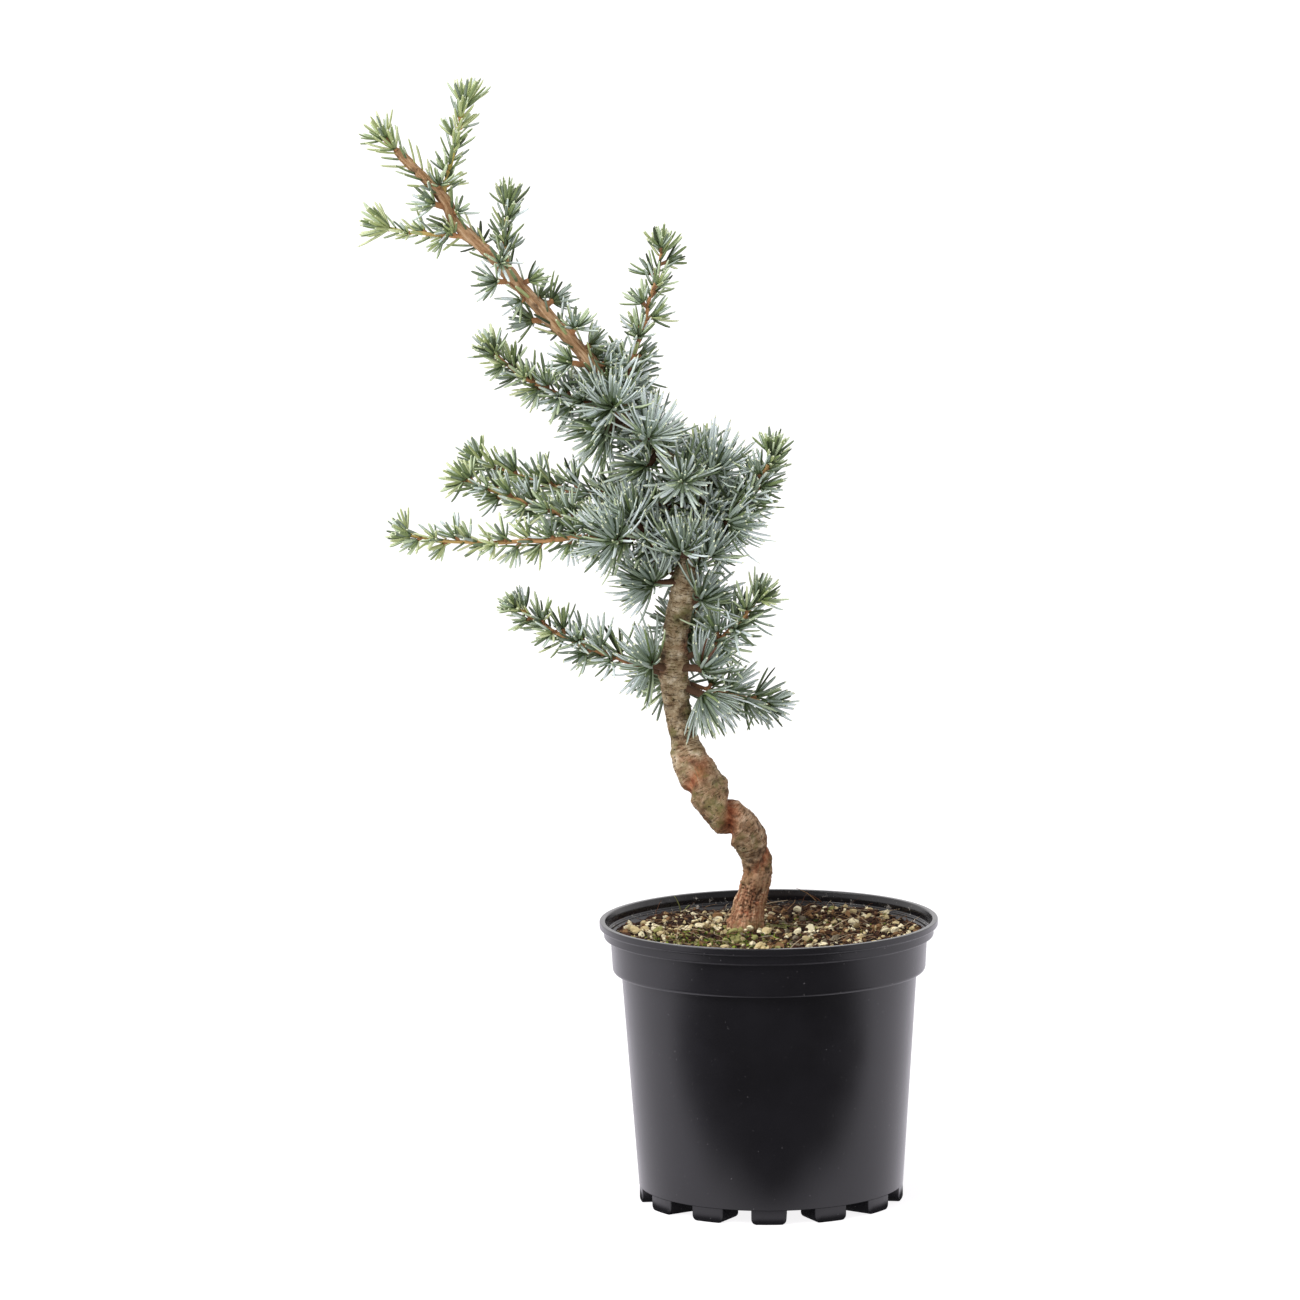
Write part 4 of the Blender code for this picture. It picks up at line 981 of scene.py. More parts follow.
def grow_leader(growth):
    """Single needles and more tufts up the trunk's upper part."""
    rng = random.Random(SEED + 1)
    spin = 0.0
    distance = LEADER_FROM * PATH_LENGTH
    while distance < PATH_LENGTH:
        centre, radius, along = (value[0] for value in on_path(np.array([distance])))
        share = distance / PATH_LENGTH
        spin += rng.uniform(1.6, 3.2)
        weights = GREY_GREEN if rng.random() > (share - 0.6) / 0.35 else FRESH
        grow_single(growth, Vector(centre), Vector(along), radius * 0.86, rng, spin, 40, 0.0150,
                    weights)
        distance += LEADER_SPACING * rng.uniform(0.6, 1.4) * (1.3 - 0.6 * (share > 0.93))
    height = FILLER_HEIGHTS[0]
    while height < FILLER_HEIGHTS[1]:
        spin += GOLDEN_ANGLE
        station = trunk_station(height)
        outward = Vector((math.cos(spin), math.sin(spin), rng.uniform(0.0, 0.7))).normalized()
        stub = grow_stub(growth.twigs, station_place(station), outward * (station.radius + 0.0035),
                         (0.0013, 0.0014), (0.9, 0.8), 0.5)
        grow_fan(growth, stub.point(1.0), outward, rng, 15, 72, rng.uniform(0.015, 0.021),
                 BLUE_GREEN, curl=0.2, inner=0.75)
        height += FILLER_SPACING * rng.uniform(0.7, 1.3)
    for height, way, needles, length, weights in LEADER_TUFTS:
        station = trunk_station(height / 1000)
        reach = Vector(way).normalized() * (station.radius + 0.0022)
        stub = grow_stub(growth.twigs, station_place(station), reach, (0.0013, 0.0015), (0.74, 0.66),
                         0.5, sides=9, step=0.0004, rough=0.14)
        grow_bud(growth.buds, stub.point(1.0), stub.direction(1.0), 0.0014, 0.5)
        grow_fan(growth, stub.point(1.0), stub.direction(1.0), rng, needles, 62, length / 1000,
                 weights, inner=0.8)


SHADED = ("rosette_bend_front", "rosette_neck_under", "rosette_neck_low")


def grow_rosette(growth, limb, line, start):
    """A stout scaly stub, a bud and fans of long needles."""
    rng = own_random(limb)
    head = line.point(1.0)
    fans = limb.fans or [(limb.reach, ROSETTE_SPREAD - 10)]
    grow_tube(growth.twigs, line, start, (0.0019, 0.0021), (1.0, 0.96), sides=12, step=0.0004,
              collar=0.5, rough=0.16, scales=0.09)
    grow_bud(growth.buds, head, Vector(fans[0][0]).normalized(), 0.0023, 1.0)
    for axis, spread, *shares in fans:
        share, stretch = (*shares, 1, 1)[:2]
        count = round(ROSETTE_NEEDLES * share * (0.45 + 0.55 * spread / ROSETTE_SPREAD))
        grow_fan(growth, head, Vector(axis).normalized(), rng, count, spread,
                 ROSETTE_NEEDLE * 0.97 * stretch, SHADED_TONES if limb.name in SHADED else ROSETTE_TONES,
                 curl=0.34, core=0.0014, inner=0.56, width=NEEDLE_HALF_WIDTH * 0.98, clump=0.13)


def grow_spur(growth, limb, line, start):
    """A short shoot: a scaly stub, a bud and a fan of needles."""
    head, ahead = line.point(1.0), line.direction(1.0)
    grow_tube(growth.twigs, line, start, (0.0014, 0.0016), (0.62, 0.5), step=0.0004, collar=0.4,
              rough=0.14, scales=0.08)
    grow_bud(growth.buds, head, ahead, 0.0016, 0.45)
    grow_fan(growth, head, ahead, own_random(limb), SPUR_NEEDLES, SPUR_SPREAD + 8, SPUR_NEEDLE,
             FRESH if limb.name == "spur_tip" else GREY_GREEN, core=0.0010, inner=0.78)


# limbs with small tufts along their foot, where the crown is thick
DRESSED = ("upper_right", "upper_left", "middle_right", "middle_left", "middle_left_rear",
           "rear_low", "rear_middle", "rear_right", "rear_high")


def dress_bough(growth, limb, line):
    rng = random.Random(SEED + 7 + len(limb.name))
    tufts = line.length * limb.bare / DRESSING_SPACING
    spin = rng.uniform(0, math.tau)
    for index in range(round(tufts)):
        share = limb.bare * (0.25 + 0.75 * (index + rng.random()) / tufts)
        spin += GOLDEN_ANGLE
        ahead = turned_away(line.direction(share), rng.uniform(55, 75), spin)
        stub = grow_stub(growth.twigs, line.point(share), ahead * (limb.radius + 0.003),
                         (0.0012, 0.0013), (0.9, 0.8), 0.4)
        grow_fan(growth, stub.point(1.0), ahead, rng, 13, 66, rng.uniform(0.0165, 0.0215),
                 BLUE_GREEN, curl=0.2, inner=0.75)


def grow_bough(batch, line, start, limb):
    """The bare part of a limb, with a knobbly old bark."""
    share = limb.bare
    tip = line.point(share)
    part = Line(line.base, tip - line.base, line.point(share / 2) - (line.base + tip) / 2)
    grow_tube(batch, part, start / share, (limb.radius * 1.05, limb.radius * BOUGH_TAPER * 1.05),
              (1.0, 0.66), sides=16, step=0.0005, collar=0.55, rough=0.15, scales=0.03,
              wander=0.0006)


def guard_points(wood):
    """Places and radii of the wood, which no needle may pass through."""
    shares = np.linspace(0, 1, 26)
    points = [PATH_POINTS[::3]] + [line.points(shares)[0] for line, _ in wood]
    radii = [PATH_RADII[::3] * 0.96] + [np.full(len(shares), radius) for _, radius in wood]
    return np.concatenate(points), np.concatenate(radii)


def build_plant():
    boughs, twigs, buds = Batch(), Batch(), Batch()
    kinds = {kind: Growth(Foliage(), twigs, buds) for kind in ("shoot", "rosette", "spur")}
    named = {kind: [] for kind in ("bough", *kinds)}
    lines, wood, collars = {}, [], []
    for limb in LONG_LIMBS + ROSETTES + SPURS:
        base, thick = limb_base(limb, lines)
        line = Line(base, limb.reach, limb.bend)
        start = min(0.3, thick * 0.72 / line.length)
        if limb.parent == "trunk":
            collars.append(line.point(min(0.9, thick * 1.1 / line.length)))
        if limb.bare:
            name = "bough_" + limb.name
            lines[name] = line
            named["bough"].append(name)
            wood.append((Line(base, line.point(limb.bare) - base), limb.radius * 0.9))
            grow_bough(boughs, line, start, limb)
            if limb.name in DRESSED:
                dress_bough(kinds["shoot"], limb, line)
            start = limb.bare
        if limb in LONG_LIMBS and limb.bare < 1:
            radius = limb.radius * (BOUGH_TAPER if limb.bare else 1)
            named["shoot"].append("shoot_" + limb.name)
            grow_long_shoot(kinds["shoot"], limb, line, start, radius * 1.05)
        elif limb in ROSETTES:
            named["rosette"].append(limb.name)
            grow_rosette(kinds["rosette"], limb, line, start)
        elif limb in SPURS:
            named["spur"].append(limb.name)
            grow_spur(kinds["spur"], limb, line, start)
    grow_leader(kinds["spur"])
    guards = guard_points(wood)
    paints = needle_paints()
    for kind, growth in kinds.items():
        growth.needles.build(kind + "_needles", paints, named[kind], guards)
    twig = twig_paint()
    boughs.build("bough_bark", "bark", named["bough"], [twig])
    twigs.build("twigs", "bark", [], [twig])
    buds.build("buds", "bark", [], [twig])
    build_trunk(collars)


# ---- pot ------------------------------------------------------------------------------

POT_SIDES = 180
POT_ROUNDING = 0.0006
SHELF_HEIGHT, SHELF_WIDTH = 0.1526, 0.0016          # a small step inside the neck
FOOT_FACE_RADIUS = BODY_BOTTOM_RADIUS - 0.0003     # of a foot's curved outer face


def pot_profile():
    """Radii and heights: outside from the axis under the floor up to the rim, then inside
    down to the floor."""
    collar_bottom = COLLAR_RADIUS - COLLAR_DRAFT
    neck_inside = NECK_RADIUS - POT_WALL
    return [
        (0.0, FLOOR_HEIGHT), (BODY_BOTTOM_RADIUS - 0.0001, FLOOR_HEIGHT),
        (BODY_BOTTOM_RADIUS, FLOOR_HEIGHT + FLOOR_ROUNDING),
        (BODY_TOP_RADIUS, COLLAR_BOTTOM - 0.0004), (collar_bottom - 0.0006, COLLAR_BOTTOM),
        (collar_bottom, COLLAR_BOTTOM + 0.0013), (COLLAR_RADIUS, NECK_BOTTOM - 0.0009),
        (NECK_RADIUS, NECK_BOTTOM), (NECK_RADIUS, NECK_TOP + 0.0012),
        (LIP_RADIUS, LIP_BOTTOM + 0.0006), (LIP_RADIUS, POT_HEIGHT),
        (LIP_RADIUS - 0.0030, POT_HEIGHT), (neck_inside, POT_HEIGHT - 0.0032),
        (neck_inside, SHELF_HEIGHT), (neck_inside - SHELF_WIDTH, SHELF_HEIGHT - 0.0006),
        (neck_inside - 0.0018, NECK_BOTTOM + POT_WALL * 0.6),
        (COLLAR_RADIUS - POT_WALL, NECK_BOTTOM - 0.0010),
        (collar_bottom - POT_WALL, COLLAR_BOTTOM + 0.004),
        (BODY_TOP_RADIUS - POT_WALL, COLLAR_BOTTOM),
        (BODY_BOTTOM_RADIUS - POT_WALL, FLOOR_HEIGHT + POT_WALL),
        (0.0, FLOOR_HEIGHT + POT_WALL),
    ]


def rounded(profile, radius, steps=5):
    """The profile with its corners rounded, as far as their neighbours leave room."""
    made = [profile[0]]
    for before, point, after in zip(profile, profile[1:], profile[2:]):
        p = Vector(point)
        ways = [Vector(other) - p for other in (before, after)]
        reach = min(radius, *(way.length * 0.42 for way in ways))
        back, ahead = (way.normalized() * reach for way in ways)
        made.append(tuple(p + back * 1.15))
        for step in range(steps + 1):
            t = step / steps
            made.append(tuple(p + back * (1 - t) ** 2 + ahead * t ** 2))
        made.append(tuple(p + ahead * 1.15))
    return made + [profile[-1]]


def lathe(name, profile, sides):
    """A closed turned body: its profile starts and ends on the axis."""
    mesh = bpy.data.meshes.new(name)
    inner = profile[1:-1]
    turns = [math.tau * side / sides for side in range(sides)]
    ends = [(0, 0, profile[end][1]) for end in (0, -1)]
    points = [(radius * math.cos(turn), radius * math.sin(turn), height)
              for radius, height in inner for turn in turns]
    last = 1 + (len(inner) - 1) * sides
    faces = []
    for side in range(sides):
        after = (side + 1) % sides
        faces.append((0, 1 + after, 1 + side))
        for low in range(1, last, sides):
            faces.append((low + side, low + after, low + sides + after, low + sides + side))
        faces.append((last + side, last + after, len(points) + 1))
    mesh.from_pydata([ends[0], *points, ends[1]], [], faces)
    with_mesh(mesh, lambda bm: bmesh.ops.recalc_face_normals(bm, faces=bm.faces))
    return placed(name, mesh)


def with_mesh(mesh, change):
    """Changes a mesh by a function of its bmesh."""
    bm = bmesh.new()
    bm.from_mesh(mesh)
    change(bm)
    bm.to_mesh(mesh)
    bm.free()
    return mesh


def spread_across(edge):
    return abs(edge.verts[0].co.y - edge.verts[1].co.y)


def shape_hub(bm):
    depth = FLOOR_HEIGHT + SUNK
    bmesh.ops.create_cone(bm, cap_ends=True, segments=64, radius1=HUB_RADIUS, radius2=HUB_RADIUS,
                          depth=depth, matrix=Matrix.Translation((0, 0, depth / 2)))


def shape_foot(bm):
    """A lug with rounded corners and a curved outer face."""
    length = FOOT_OUTER_RADIUS - FOOT_INNER_RADIUS
    depth = FLOOR_HEIGHT + SUNK
    bmesh.ops.create_cube(bm, size=1.0)
    bmesh.ops.scale(bm, vec=(length, FOOT_WIDTH, depth), verts=bm.verts)
    bmesh.ops.translate(bm, vec=(FOOT_INNER_RADIUS + length / 2, 0, depth / 2), verts=bm.verts)
    corners = [edge for edge in bm.edges
               if all(v.co.z < depth / 2 for v in edge.verts) and spread_across(edge) < 1e-6]
    bmesh.ops.bevel(bm, geom=corners, offset=FOOT_CORNER, segments=6, profile=0.5, affect="EDGES")
    outline = [edge for edge in bm.edges
               if all(v.co.x > FOOT_OUTER_RADIUS - 1e-6 for v in edge.verts)
               and any(v.co.z < depth - 1e-6 for v in edge.verts)]
    bmesh.ops.bevel(bm, geom=outline, offset=0.0006, segments=3, profile=0.5, affect="EDGES")
    for _ in range(3):
        wide = [edge for edge in bm.edges if spread_across(edge) > 0.2 * FOOT_WIDTH]
        bmesh.ops.subdivide_edges(bm, edges=wide, cuts=1)
    for vert in bm.verts:
        sagitta = vert.co.y ** 2 / (2 * FOOT_FACE_RADIUS)
        share = (vert.co.x - FOOT_INNER_RADIUS) / length
        vert.co.x += (FOOT_FACE_RADIUS - FOOT_OUTER_RADIUS - sagitta) * share
    bmesh.ops.recalc_face_normals(bm, faces=bm.faces)


def build_pot():
    pot = lathe("pot_shell", rounded(pot_profile(), POT_ROUNDING), POT_SIDES)
    extras = bpy.data.collections.new("pot_feet")
    bpy.context.scene.collection.children.link(extras)
    shapes = [("hub", shape_hub, 0)]
    shapes += [("foot", shape_foot, FOOT_TURN + math.tau * index / FOOT_COUNT)
               for index in range(FOOT_COUNT)]
    for name, shape, turn in shapes:
        extra = bpy.data.objects.new(name, with_mesh(bpy.data.meshes.new(name), shape))
        extra.matrix_world = Matrix.Rotation(turn, 4, "Z")
        extras.objects.link(extra)
    union = pot.modifiers.new("union", "BOOLEAN")
    union.operation, union.solver = "UNION", "EXACT"
    union.operand_type, union.collection = "COLLECTION", extras
    graph = bpy.context.evaluated_depsgraph_get()
    mesh = bpy.data.meshes.new_from_object(pot.evaluated_get(graph))
    pot.modifiers.clear()
    pot.data = mesh
    for extra in list(extras.objects):
        bpy.data.objects.remove(extra, do_unlink=True)
    bpy.data.collections.remove(extras)
    mesh.materials.clear()
    mesh.materials.append(pot_paint())
    mesh.polygons.foreach_set("use_smooth", [True] * len(mesh.polygons))
    mesh.set_sharp_from_angle(angle=math.radians(42))
    x, y, z = np.array([vertex.co for vertex in mesh.vertices]).T
    chalky = ((np.hypot(x, y) < NECK_RADIUS - POT_WALL * 0.5)
              & (z > NECK_BOTTOM) & (z < POT_HEIGHT - 0.001))
    attribute = mesh.attributes.new("chalk", "FLOAT", "POINT")
    attribute.data.foreach_set("value", chalky.astype(np.float32))
    finish_piece(pot, ["pot"])


# ---- soil -----------------------------------------------------------------------------

SOIL_RINGS, SOIL_SIDES = 120, 260
SOIL_EDGE = COLLAR_RADIUS - POT_WALL - CLEARANCE
SOIL_SKIRT = ((SOIL_EDGE, 0.1460), (SOIL_EDGE - 0.0006, 0.1400))    # radius and height
LITTER_REACH = SOIL_EDGE - 0.0008   # nothing on the soil lies further out
GRAIN_REACH = SOIL_EDGE - 0.0020


def soil_height(x, y):
    """Lumpy surface, with a level patch at the trunk's foot and a mound behind on the right."""
    distance = np.hypot(x - TRUNK[0].x, y - TRUNK[0].y)
    waves = (np.sin(97 * x + 1.3) * np.cos(83 * y - 0.4)
             + 0.6 * np.sin(171 * x - 139 * y + 2.0)) / 1.6
    from_mound = np.hypot(x - MOUND_PLACE[0], y - MOUND_PLACE[1])
    height = SOIL_LEVEL + SOIL_LUMPS * waves + MOUND_HEIGHT * bell(from_mound, MOUND_SPREAD)
    height = blend((PAD_LEVEL, height), np.clip((distance - PAD_RADIUS) / PAD_SLOPE, 0, 1))
    place = np.stack((x, y, np.zeros_like(x)), -1)
    away = np.clip((distance - 0.009) / 0.012, 0, 1)
    return (height + away * 0.0016 * layered(place * 150, 4, 0.6)
            + 0.0005 * noise(place * 900 + 3.0))


def build_soil():
    angle = np.arange(SOIL_SIDES) * math.tau / SOIL_SIDES
    ring = np.stack((np.cos(angle), np.sin(angle), np.zeros(SOIL_SIDES)), -1)
    top = np.linspace(0.0006, SOIL_EDGE, SOIL_RINGS)[:, None, None] * ring
    top[..., 2] = soil_height(top[..., 0], top[..., 1])
    skirt = [ring * radius + (0, 0, height) for radius, height in SOIL_SKIRT]
    loops, sizes = skin_loops(SOIL_RINGS + len(skirt), SOIL_SIDES)
    batch = Batch()
    batch.add(np.concatenate((top, skirt)), loops[::-1], sizes[::-1], 0)
    batch.build("soil_bed", "soil", ["soil"], [peat_paint()])
    build_litter()


def scattered(rng, count):
    """Places on the soil, evenly spread, off the trunk's foot."""
    foot = TRUNK[0]
    spots = []
    while len(spots) < count:
        radius = GRAIN_REACH * math.sqrt(rng.random())
        angle = rng.uniform(0, math.tau)
        x, y = radius * math.cos(angle), radius * math.sin(angle)
        if math.hypot(x - foot.x, y - foot.y) > foot.radius * 1.05:
            spots.append((x, y))
    x, y = np.array(spots).T
    return np.stack((x, y, soil_height(x, y)), -1)


STONE, CRUMB = ball(2), ball(1)


def add_lump(batch, rng, shape, place, size, flat, sunk, slot, tilt=0.8):
    """An angular lump: a ball whose points are pushed about and then cut by planes."""
    points, loops = shape
    lumpy = points * (1 + 0.5 * noise(points * 1.3 + rng.uniform(0, 900)))[:, None]
    for _ in range(3):
        facet = np.array(gauss_vector(rng).normalized())
        beyond = np.maximum(lumpy @ facet - rng.uniform(0.30, 0.75), 0)
        lumpy = lumpy - beyond[:, None] * facet
    lumpy = lumpy * (rng.uniform(0.8, 1.35), rng.uniform(0.6, 0.95), flat * rng.uniform(0.8, 1.2))
    turn = np.eye(3)
    for most, axis in ((math.tau, "Z"), (tilt, "X"), (math.tau, "Z")):
        least = -tilt if axis == "X" else 0
        turn = turn @ np.array(Matrix.Rotation(rng.uniform(least, most), 3, axis))
    centre = np.array(place) + (0, 0, size * flat * (0.5 - sunk))
    batch.add((lumpy * size) @ turn.T + centre, loops, np.full(len(loops), 3), slot)


def add_strand(batch, rng, place, heading, rise, length, radius, slot, curl=0.5, rings=7):
    """A thin curved fibre that lies on the soil or stands up from it."""
    centre = [np.array(place, float)]
    for _ in range(rings - 1):
        way = np.array((math.cos(heading) * math.cos(rise), math.sin(heading) * math.cos(rise),
                        math.sin(rise)))
        centre.append(centre[-1] + way * length / (rings - 1))
        heading += rng.uniform(-curl, curl)
        rise += rng.uniform(-curl, curl) * 0.35 - rise * 0.10
    centre = np.array(centre)
    from_axis = np.hypot(centre[:, 0], centre[:, 1])
    centre[:, :2] *= np.minimum(1.0, LITTER_REACH / np.maximum(from_axis, 1e-6))[:, None]
    side = unit(np.cross(unit(np.gradient(centre, axis=0)), (0.13, 0.21, 0.97)))
    up = np.cross(side, unit(np.gradient(centre, axis=0)))
    width = radius * np.linspace(1, 0.45, rings)[:, None]
    ring = [centre + (side * math.cos(a) + up * math.sin(a)) * width
            for a in (0.3, 0.3 + math.tau / 3, 0.3 + 2 * math.tau / 3)]
    batch.add(np.stack(ring, 1), *skin_loops(rings, 3), slot)


# colours of the pieces on the soil, each of which has its own few
LITTER = {
    "grit": {"cream": (240, 229, 192), "beige": (206, 188, 142), "tan": (132, 100, 68),
             "grey_grit": (122, 112, 94), "mossy_grit": (150, 148, 92)},
    "crumbs": {"peat_dark": (36, 24, 18), "peat_brown": (72, 48, 36), "bark_chip": (112, 82, 60)},
    "fibres": {"fibre_brown": (92, 60, 42), "fibre_tan": (150, 118, 84),
               "fibre_pale": (196, 176, 146), "sprout": (132, 136, 86)},
    "moss": {"moss_dark": (48, 62, 22), "moss": (92, 114, 38), "moss_light": (148, 166, 66)},
}
GRAINS, GRAIN_WEIGHTS = mm((2.0, 3.0, 4.2, 5.6, 7.0)), (6, 8, 5, 1.6, 0.25)    # sizes of grit
CLEAN_GRIT, MOSSY_GRIT = ((0, 1, 2, 3), (4, 5, 3, 1)), ((4, 1), (3, 1))    # colours, weights
# places tried for each
GRIT_PLACES, CRUMB_PLACES, CHIP_PLACES = 1600, 3600, 150
FIBRE_PLACES, MOSS_PLACES = 620, 2600

# dry stalks and a sprout, in millimetres: place, heading, rise, length, radius, colour
STALKS = [
    (-25.3, 27.7, 150, 0.1, 1.30, 25, 0.42, 2), (-51.1, 74, 150, 3.0, 1.36, 12.5, 0.52, 3),
    (-48, 73, 150, 0.4, 1.00, 6, 0.60, 3), (30, 83, 153.5, 3.0, 0.80, 15, 0.36, 1),
    (32, 80, 153.5, 2.2, 0.55, 10, 0.50, 0), (35.8, 7.9, 151.5, 0.1, 0.60, 12.5, 0.48, 2),
    (-3, 15, 153, -0.5, 0.05, 24, 0.45, 3), (0, 10, 153, -0.9, 0.10, 19, 0.40, 3),
    (6, 18, 152.5, -0.3, 0.05, 21, 0.34, 2), (0, 80, 153, 0.1, 0.15, 13, 0.40, 2),
    (-70, 2, 152, 4.9, 0.30, 13, 0.45, 1), (-36, 0, 152, 2.9, 0.20, 19, 0.42, 2),
    (50, 30, 152, 1.2, 0.50, 11, 0.34, 1), (62, 20, 152, 2.0, 0.80, 9, 0.30, 0),
    (10, -60, 152, 0.6, 0.70, 12, 0.36, 2), (-30, -60, 152, 2.4, 0.60, 12, 0.36, 1),
]


def patch(x, y, *spots):
    """How much of something lies at a place: each spot has a strength, a place and widths."""
    return sum(strength * math.exp(-((x - at_x) / width) ** 2 - ((y - at_y) / depth) ** 2)
               for strength, at_x, at_y, width, depth in spots)


def mossy(x, y):
    """How mossy the soil is, from 0 to 1: most in front of the trunk, on its left."""
    return min(1.0, patch(x, y, (1.15, -0.034, -0.030, 0.036, 0.024),
                          (0.22, 0.026, 0.026, 0.030, 0.026), (0.60, -0.020, 0.004, 0.018, 0.010)))


def build_litter():
    """Grit, crumbs of peat, bits of bark, fibres and moss on the soil."""
    rng = random.Random(SEED)
    heaps = {name: Batch() for name in LITTER}
    for x, y, z in scattered(rng, GRIT_PLACES):
        bare = patch(x, y, (1, 0.020, 0.074, 0.026, 0.022), (0.8, -0.030, 0.068, 0.018, 0.016))
        if rng.random() < 0.24 + 0.76 * bare:
            continue
        size = 0.5 * rng.choices(GRAINS, GRAIN_WEIGHTS)[0]
        green = mossy(x, y) > rng.random()
        kind = rng.choices(*(MOSSY_GRIT if green else CLEAN_GRIT))[0]
        add_lump(heaps["grit"], rng, STONE if size > 0.0016 else CRUMB, (x, y, z), size,
                 rng.uniform(0.5, 0.85), rng.uniform(-0.3, 0.3), kind)
    for place in scattered(rng, CRUMB_PLACES):
        size = 0.5 * rng.uniform(0.0009, 0.0028)
        add_lump(heaps["crumbs"], rng, CRUMB, place, size, rng.uniform(0.5, 1.0),
                 rng.uniform(-0.1, 0.4), rng.choices((0, 1, 2), (5, 3, 1.5))[0])
    for place in scattered(rng, CHIP_PLACES):
        add_lump(heaps["crumbs"], rng, CRUMB, place, rng.uniform(0.002, 0.0042), 0.16, 0.0,
                 rng.choice((1, 2, 2)), tilt=0.5)
    for place in scattered(rng, FIBRE_PLACES):
        add_strand(heaps["fibres"], rng, place + (0, 0, 0.0012), rng.uniform(0, math.tau),
                   rng.uniform(-0.1, 0.6), rng.uniform(0.004, 0.018),
                   rng.uniform(0.00010, 0.00032), rng.choices((0, 1, 2), (5, 3, 2))[0])
    for *place, heading, rise, length, radius, colour in STALKS:
        add_strand(heaps["fibres"], rng, mm(place), heading, rise, length / 1000, radius / 1000,
                   colour, curl=0.08, rings=9)
    add_moss(heaps["moss"], rng)
    for name, heap in heaps.items():
        colours = [plain_paint(*colour, 0.88, 0.2) for colour in LITTER[name].items()]
        heap.build("soil_" + name, "soil", [], colours, smooth=name == "fibres")


def add_moss(moss, rng):
    """Small cushions of tiny leaves where the soil is mossy."""
    for x, y, z in [spot for spot in scattered(rng, MOSS_PLACES)
                    if mossy(*spot[:2]) > rng.random()]:
        add_lump(moss, rng, CRUMB, (x, y, z + 0.0003), rng.uniform(0.0005, 0.0013), 0.8, 0.1,
                 rng.choices((0, 1, 2), (3, 3, 2))[0])
        for _ in range(3):
            root = (x + rng.uniform(-1, 1) * 0.0008, y + rng.uniform(-1, 1) * 0.0008, z + 0.0004)
            add_strand(moss, rng, root, rng.uniform(0, math.tau), rng.uniform(0.6, 1.4),
                       rng.uniform(0.0008, 0.0021), 0.00016, rng.choice((0, 1, 2)), rings=3)


# ---- stage ----------------------------------------------------------------------------

FLOOR_HALF = 40.0
# The floor's picture in glossy things: dark from this far out towards the camera, in a
# band that widens as it goes, and right under the pot.
DARK_FROM, DARK_FULL = 0.085, 0.185
BAND_HALF, BAND_GROWTH, BAND_EDGE = 0.36, 0.55, 0.09
UNDER_FROM, UNDER_FULL = 0.086, 0.078
LIGHT_COLOUR = (1.0, 0.985, 1.0, 1)
SUN_WAY, SUN_ENERGY, SUN_ANGLE = (1.5, 1.0, -1.9), 2.3, math.radians(40)


def floor_paint():
    """White, a little bright of itself; in gloss it is dark far out towards the camera."""
    paint = Paint("floor_white", 0.6, 0.0)
    paint.set("Base Color", srgb((150, 149, 150)))
    paint.set("Emission Color", (1, 0.99, 1, 1))
    paint.set("Emission Strength", 0.88)

    def summed(first, second):
        return paint.maths("ADD", first, second)

    axes = paint.node("SeparateXYZ", paint.place())
    forward = paint.maths("MULTIPLY", axes.outputs["Y"], -1.0)
    aside = paint.maths("ABSOLUTE", axes.outputs["X"])
    wide = paint.maths("MULTIPLY", paint.maths("MAXIMUM", summed(aside, -0.2), 0.0), 0.3)
    near_axis = paint.maths("MULTIPLY", paint.soft_window(aside, 0.07, 0.0), 0.03)
    out = paint.soft_window(summed(forward, summed(wide, near_axis)), DARK_FROM, DARK_FULL)
    half = paint.maths("MULTIPLY_ADD", forward, BAND_GROWTH, BAND_HALF)
    within = paint.soft_window(paint.maths("SUBTRACT", half, aside), -BAND_EDGE, BAND_EDGE)
    reach = paint.node("VectorMath", paint.place(), operation="LENGTH").outputs["Value"]
    dark = paint.maths("MAXIMUM", paint.maths("MULTIPLY", out, within),
                       paint.soft_window(reach, UNDER_FROM, UNDER_FULL))
    bright, near, far = ((grey, grey * 0.965, grey * 1.05, 1) for grey in (1.18, 0.03, 0.10))
    shade = paint.mixed(paint.window(reach, 0.55, 1.1), near, far)
    mirrored = paint.node("Emission", paint.mixed(dark, bright, shade)).outputs[0]
    glossy = paint.node("LightPath").outputs["Is Glossy Ray"]
    mix = paint.node("MixShader", glossy, paint.shader.outputs[0], mirrored)
    paint.link(mix.outputs[0], paint.tree.nodes["Material Output"].inputs["Surface"])
    return paint.material


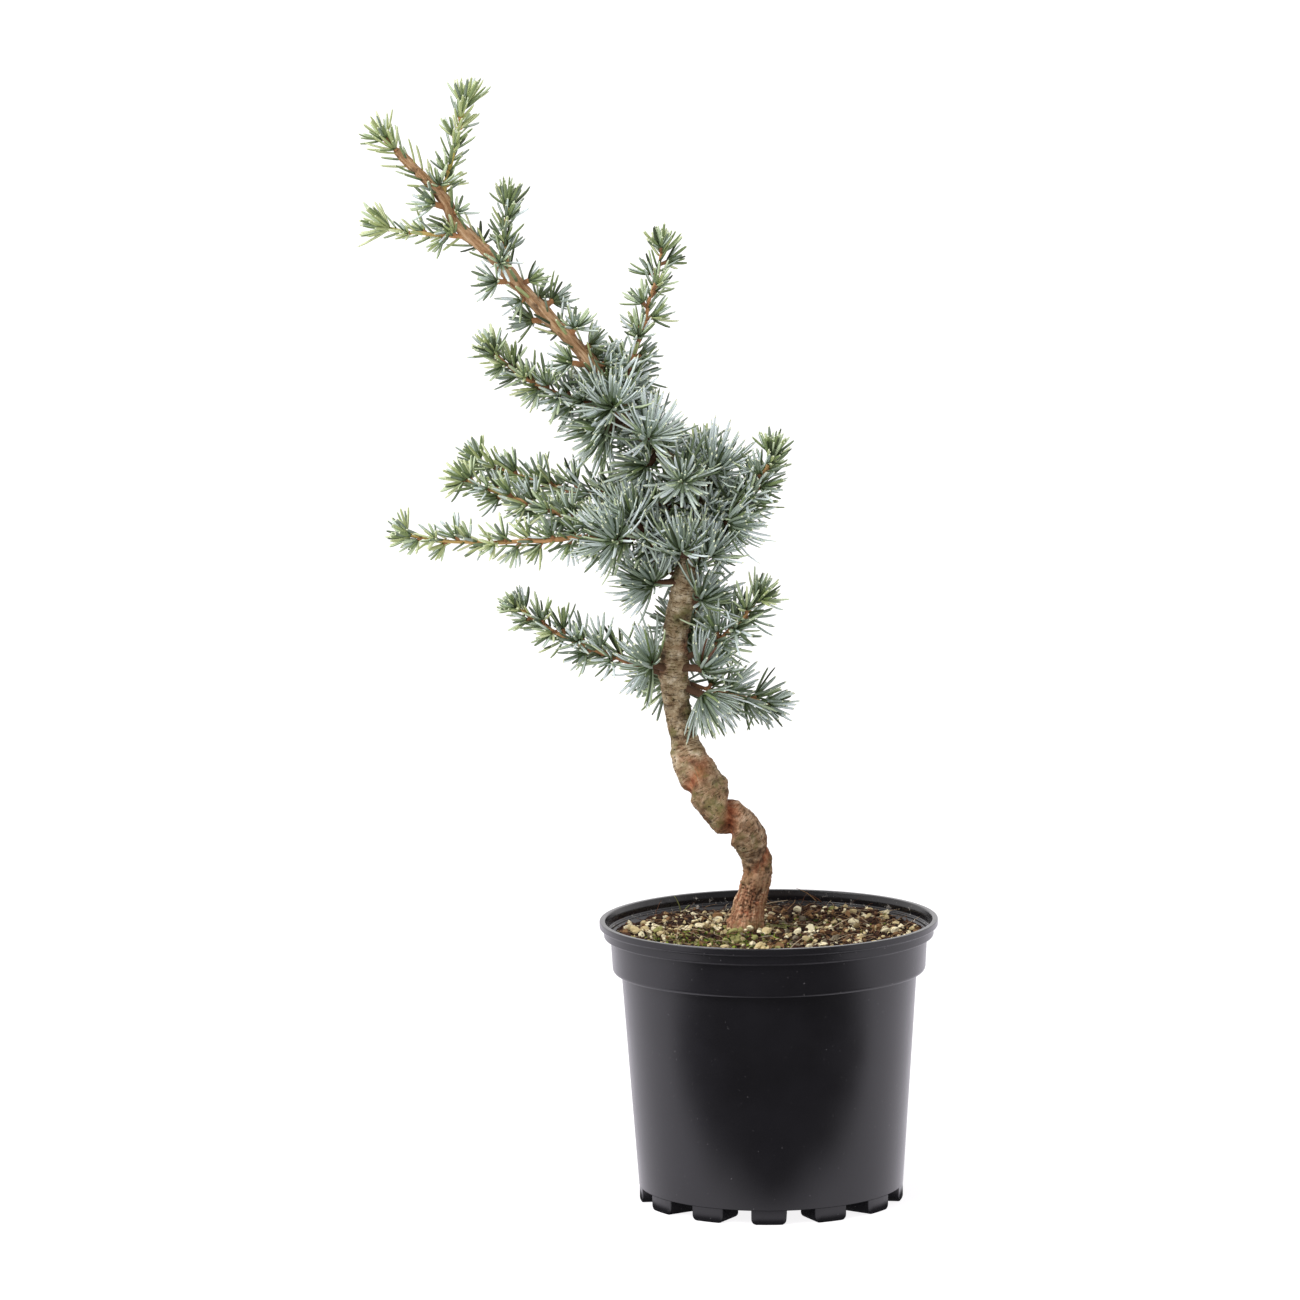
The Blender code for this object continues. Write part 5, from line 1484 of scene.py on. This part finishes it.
def build_world():
    """Soft white light, with a darker front in mirrored rays."""
    world = bpy.data.worlds.new("studio")
    bpy.context.scene.world = world
    world.use_nodes = True
    world.node_tree.nodes.clear()
    nodes = Nodes(world.node_tree)
    seen, soft, side, dark = (nodes.node("Background", LIGHT_COLOUR, strength).outputs[0]
                              for strength in (1.05, 0.66, 1.20, 0.34))
    path = nodes.node("LightPath").outputs
    way = nodes.node("TexCoord").outputs["Generated"]
    towards = nodes.node("VectorMath", way, (0.0, -1.0, 0.0), operation="DOT_PRODUCT")
    front = nodes.soft_window(towards.outputs["Value"], 0.10, 0.62)

    def mixed(share, first, second):
        return nodes.node("MixShader", share, first, second).outputs[0]

    unseen = mixed(path["Is Glossy Ray"], soft, mixed(front, side, dark))
    nodes.node("OutputWorld", mixed(path["Is Camera Ray"], unseen, seen))


def build_stage():
    mesh = bpy.data.meshes.new("floor")
    corners = ((-1, -1), (1, -1), (1, 1), (-1, 1))
    mesh.from_pydata([(x * FLOOR_HALF, y * FLOOR_HALF, 0) for x, y in corners], [],
                     [(0, 1, 2, 3)])
    mesh.materials.append(floor_paint())
    floor = placed("floor", mesh)
    build_world()
    sun = bpy.data.lights.new("key", "SUN")
    sun.energy, sun.angle = SUN_ENERGY, SUN_ANGLE
    lamp = placed("key", sun)
    lamp.matrix_world = Vector(SUN_WAY).to_track_quat("-Z", "Y").to_matrix().to_4x4()
    bpy.context.scene.view_settings.view_transform = "Standard"


def build_camera():
    data = bpy.data.cameras.new("camera")
    data.lens, data.sensor_width = CAMERA_LENS, SENSOR
    data.clip_start, data.clip_end = 0.1, 60.0
    forward = Vector((0, math.cos(CAMERA_PITCH), -math.sin(CAMERA_PITCH)))
    level = Vector((1, 0, 0))
    right = level * math.cos(CAMERA_ROLL) + level.cross(forward) * math.sin(CAMERA_ROLL)
    turn = Matrix((right, right.cross(forward), -forward)).transposed().to_4x4()
    camera = placed("camera", data)
    camera.matrix_world = Matrix.Translation(CAMERA_PLACE) @ turn
    bpy.context.scene.camera = camera


def write_sizes():
    bpy.context.view_layer.update()


build_camera()
build_stage()
build_pot()
build_soil()
build_plant()
write_sizes()
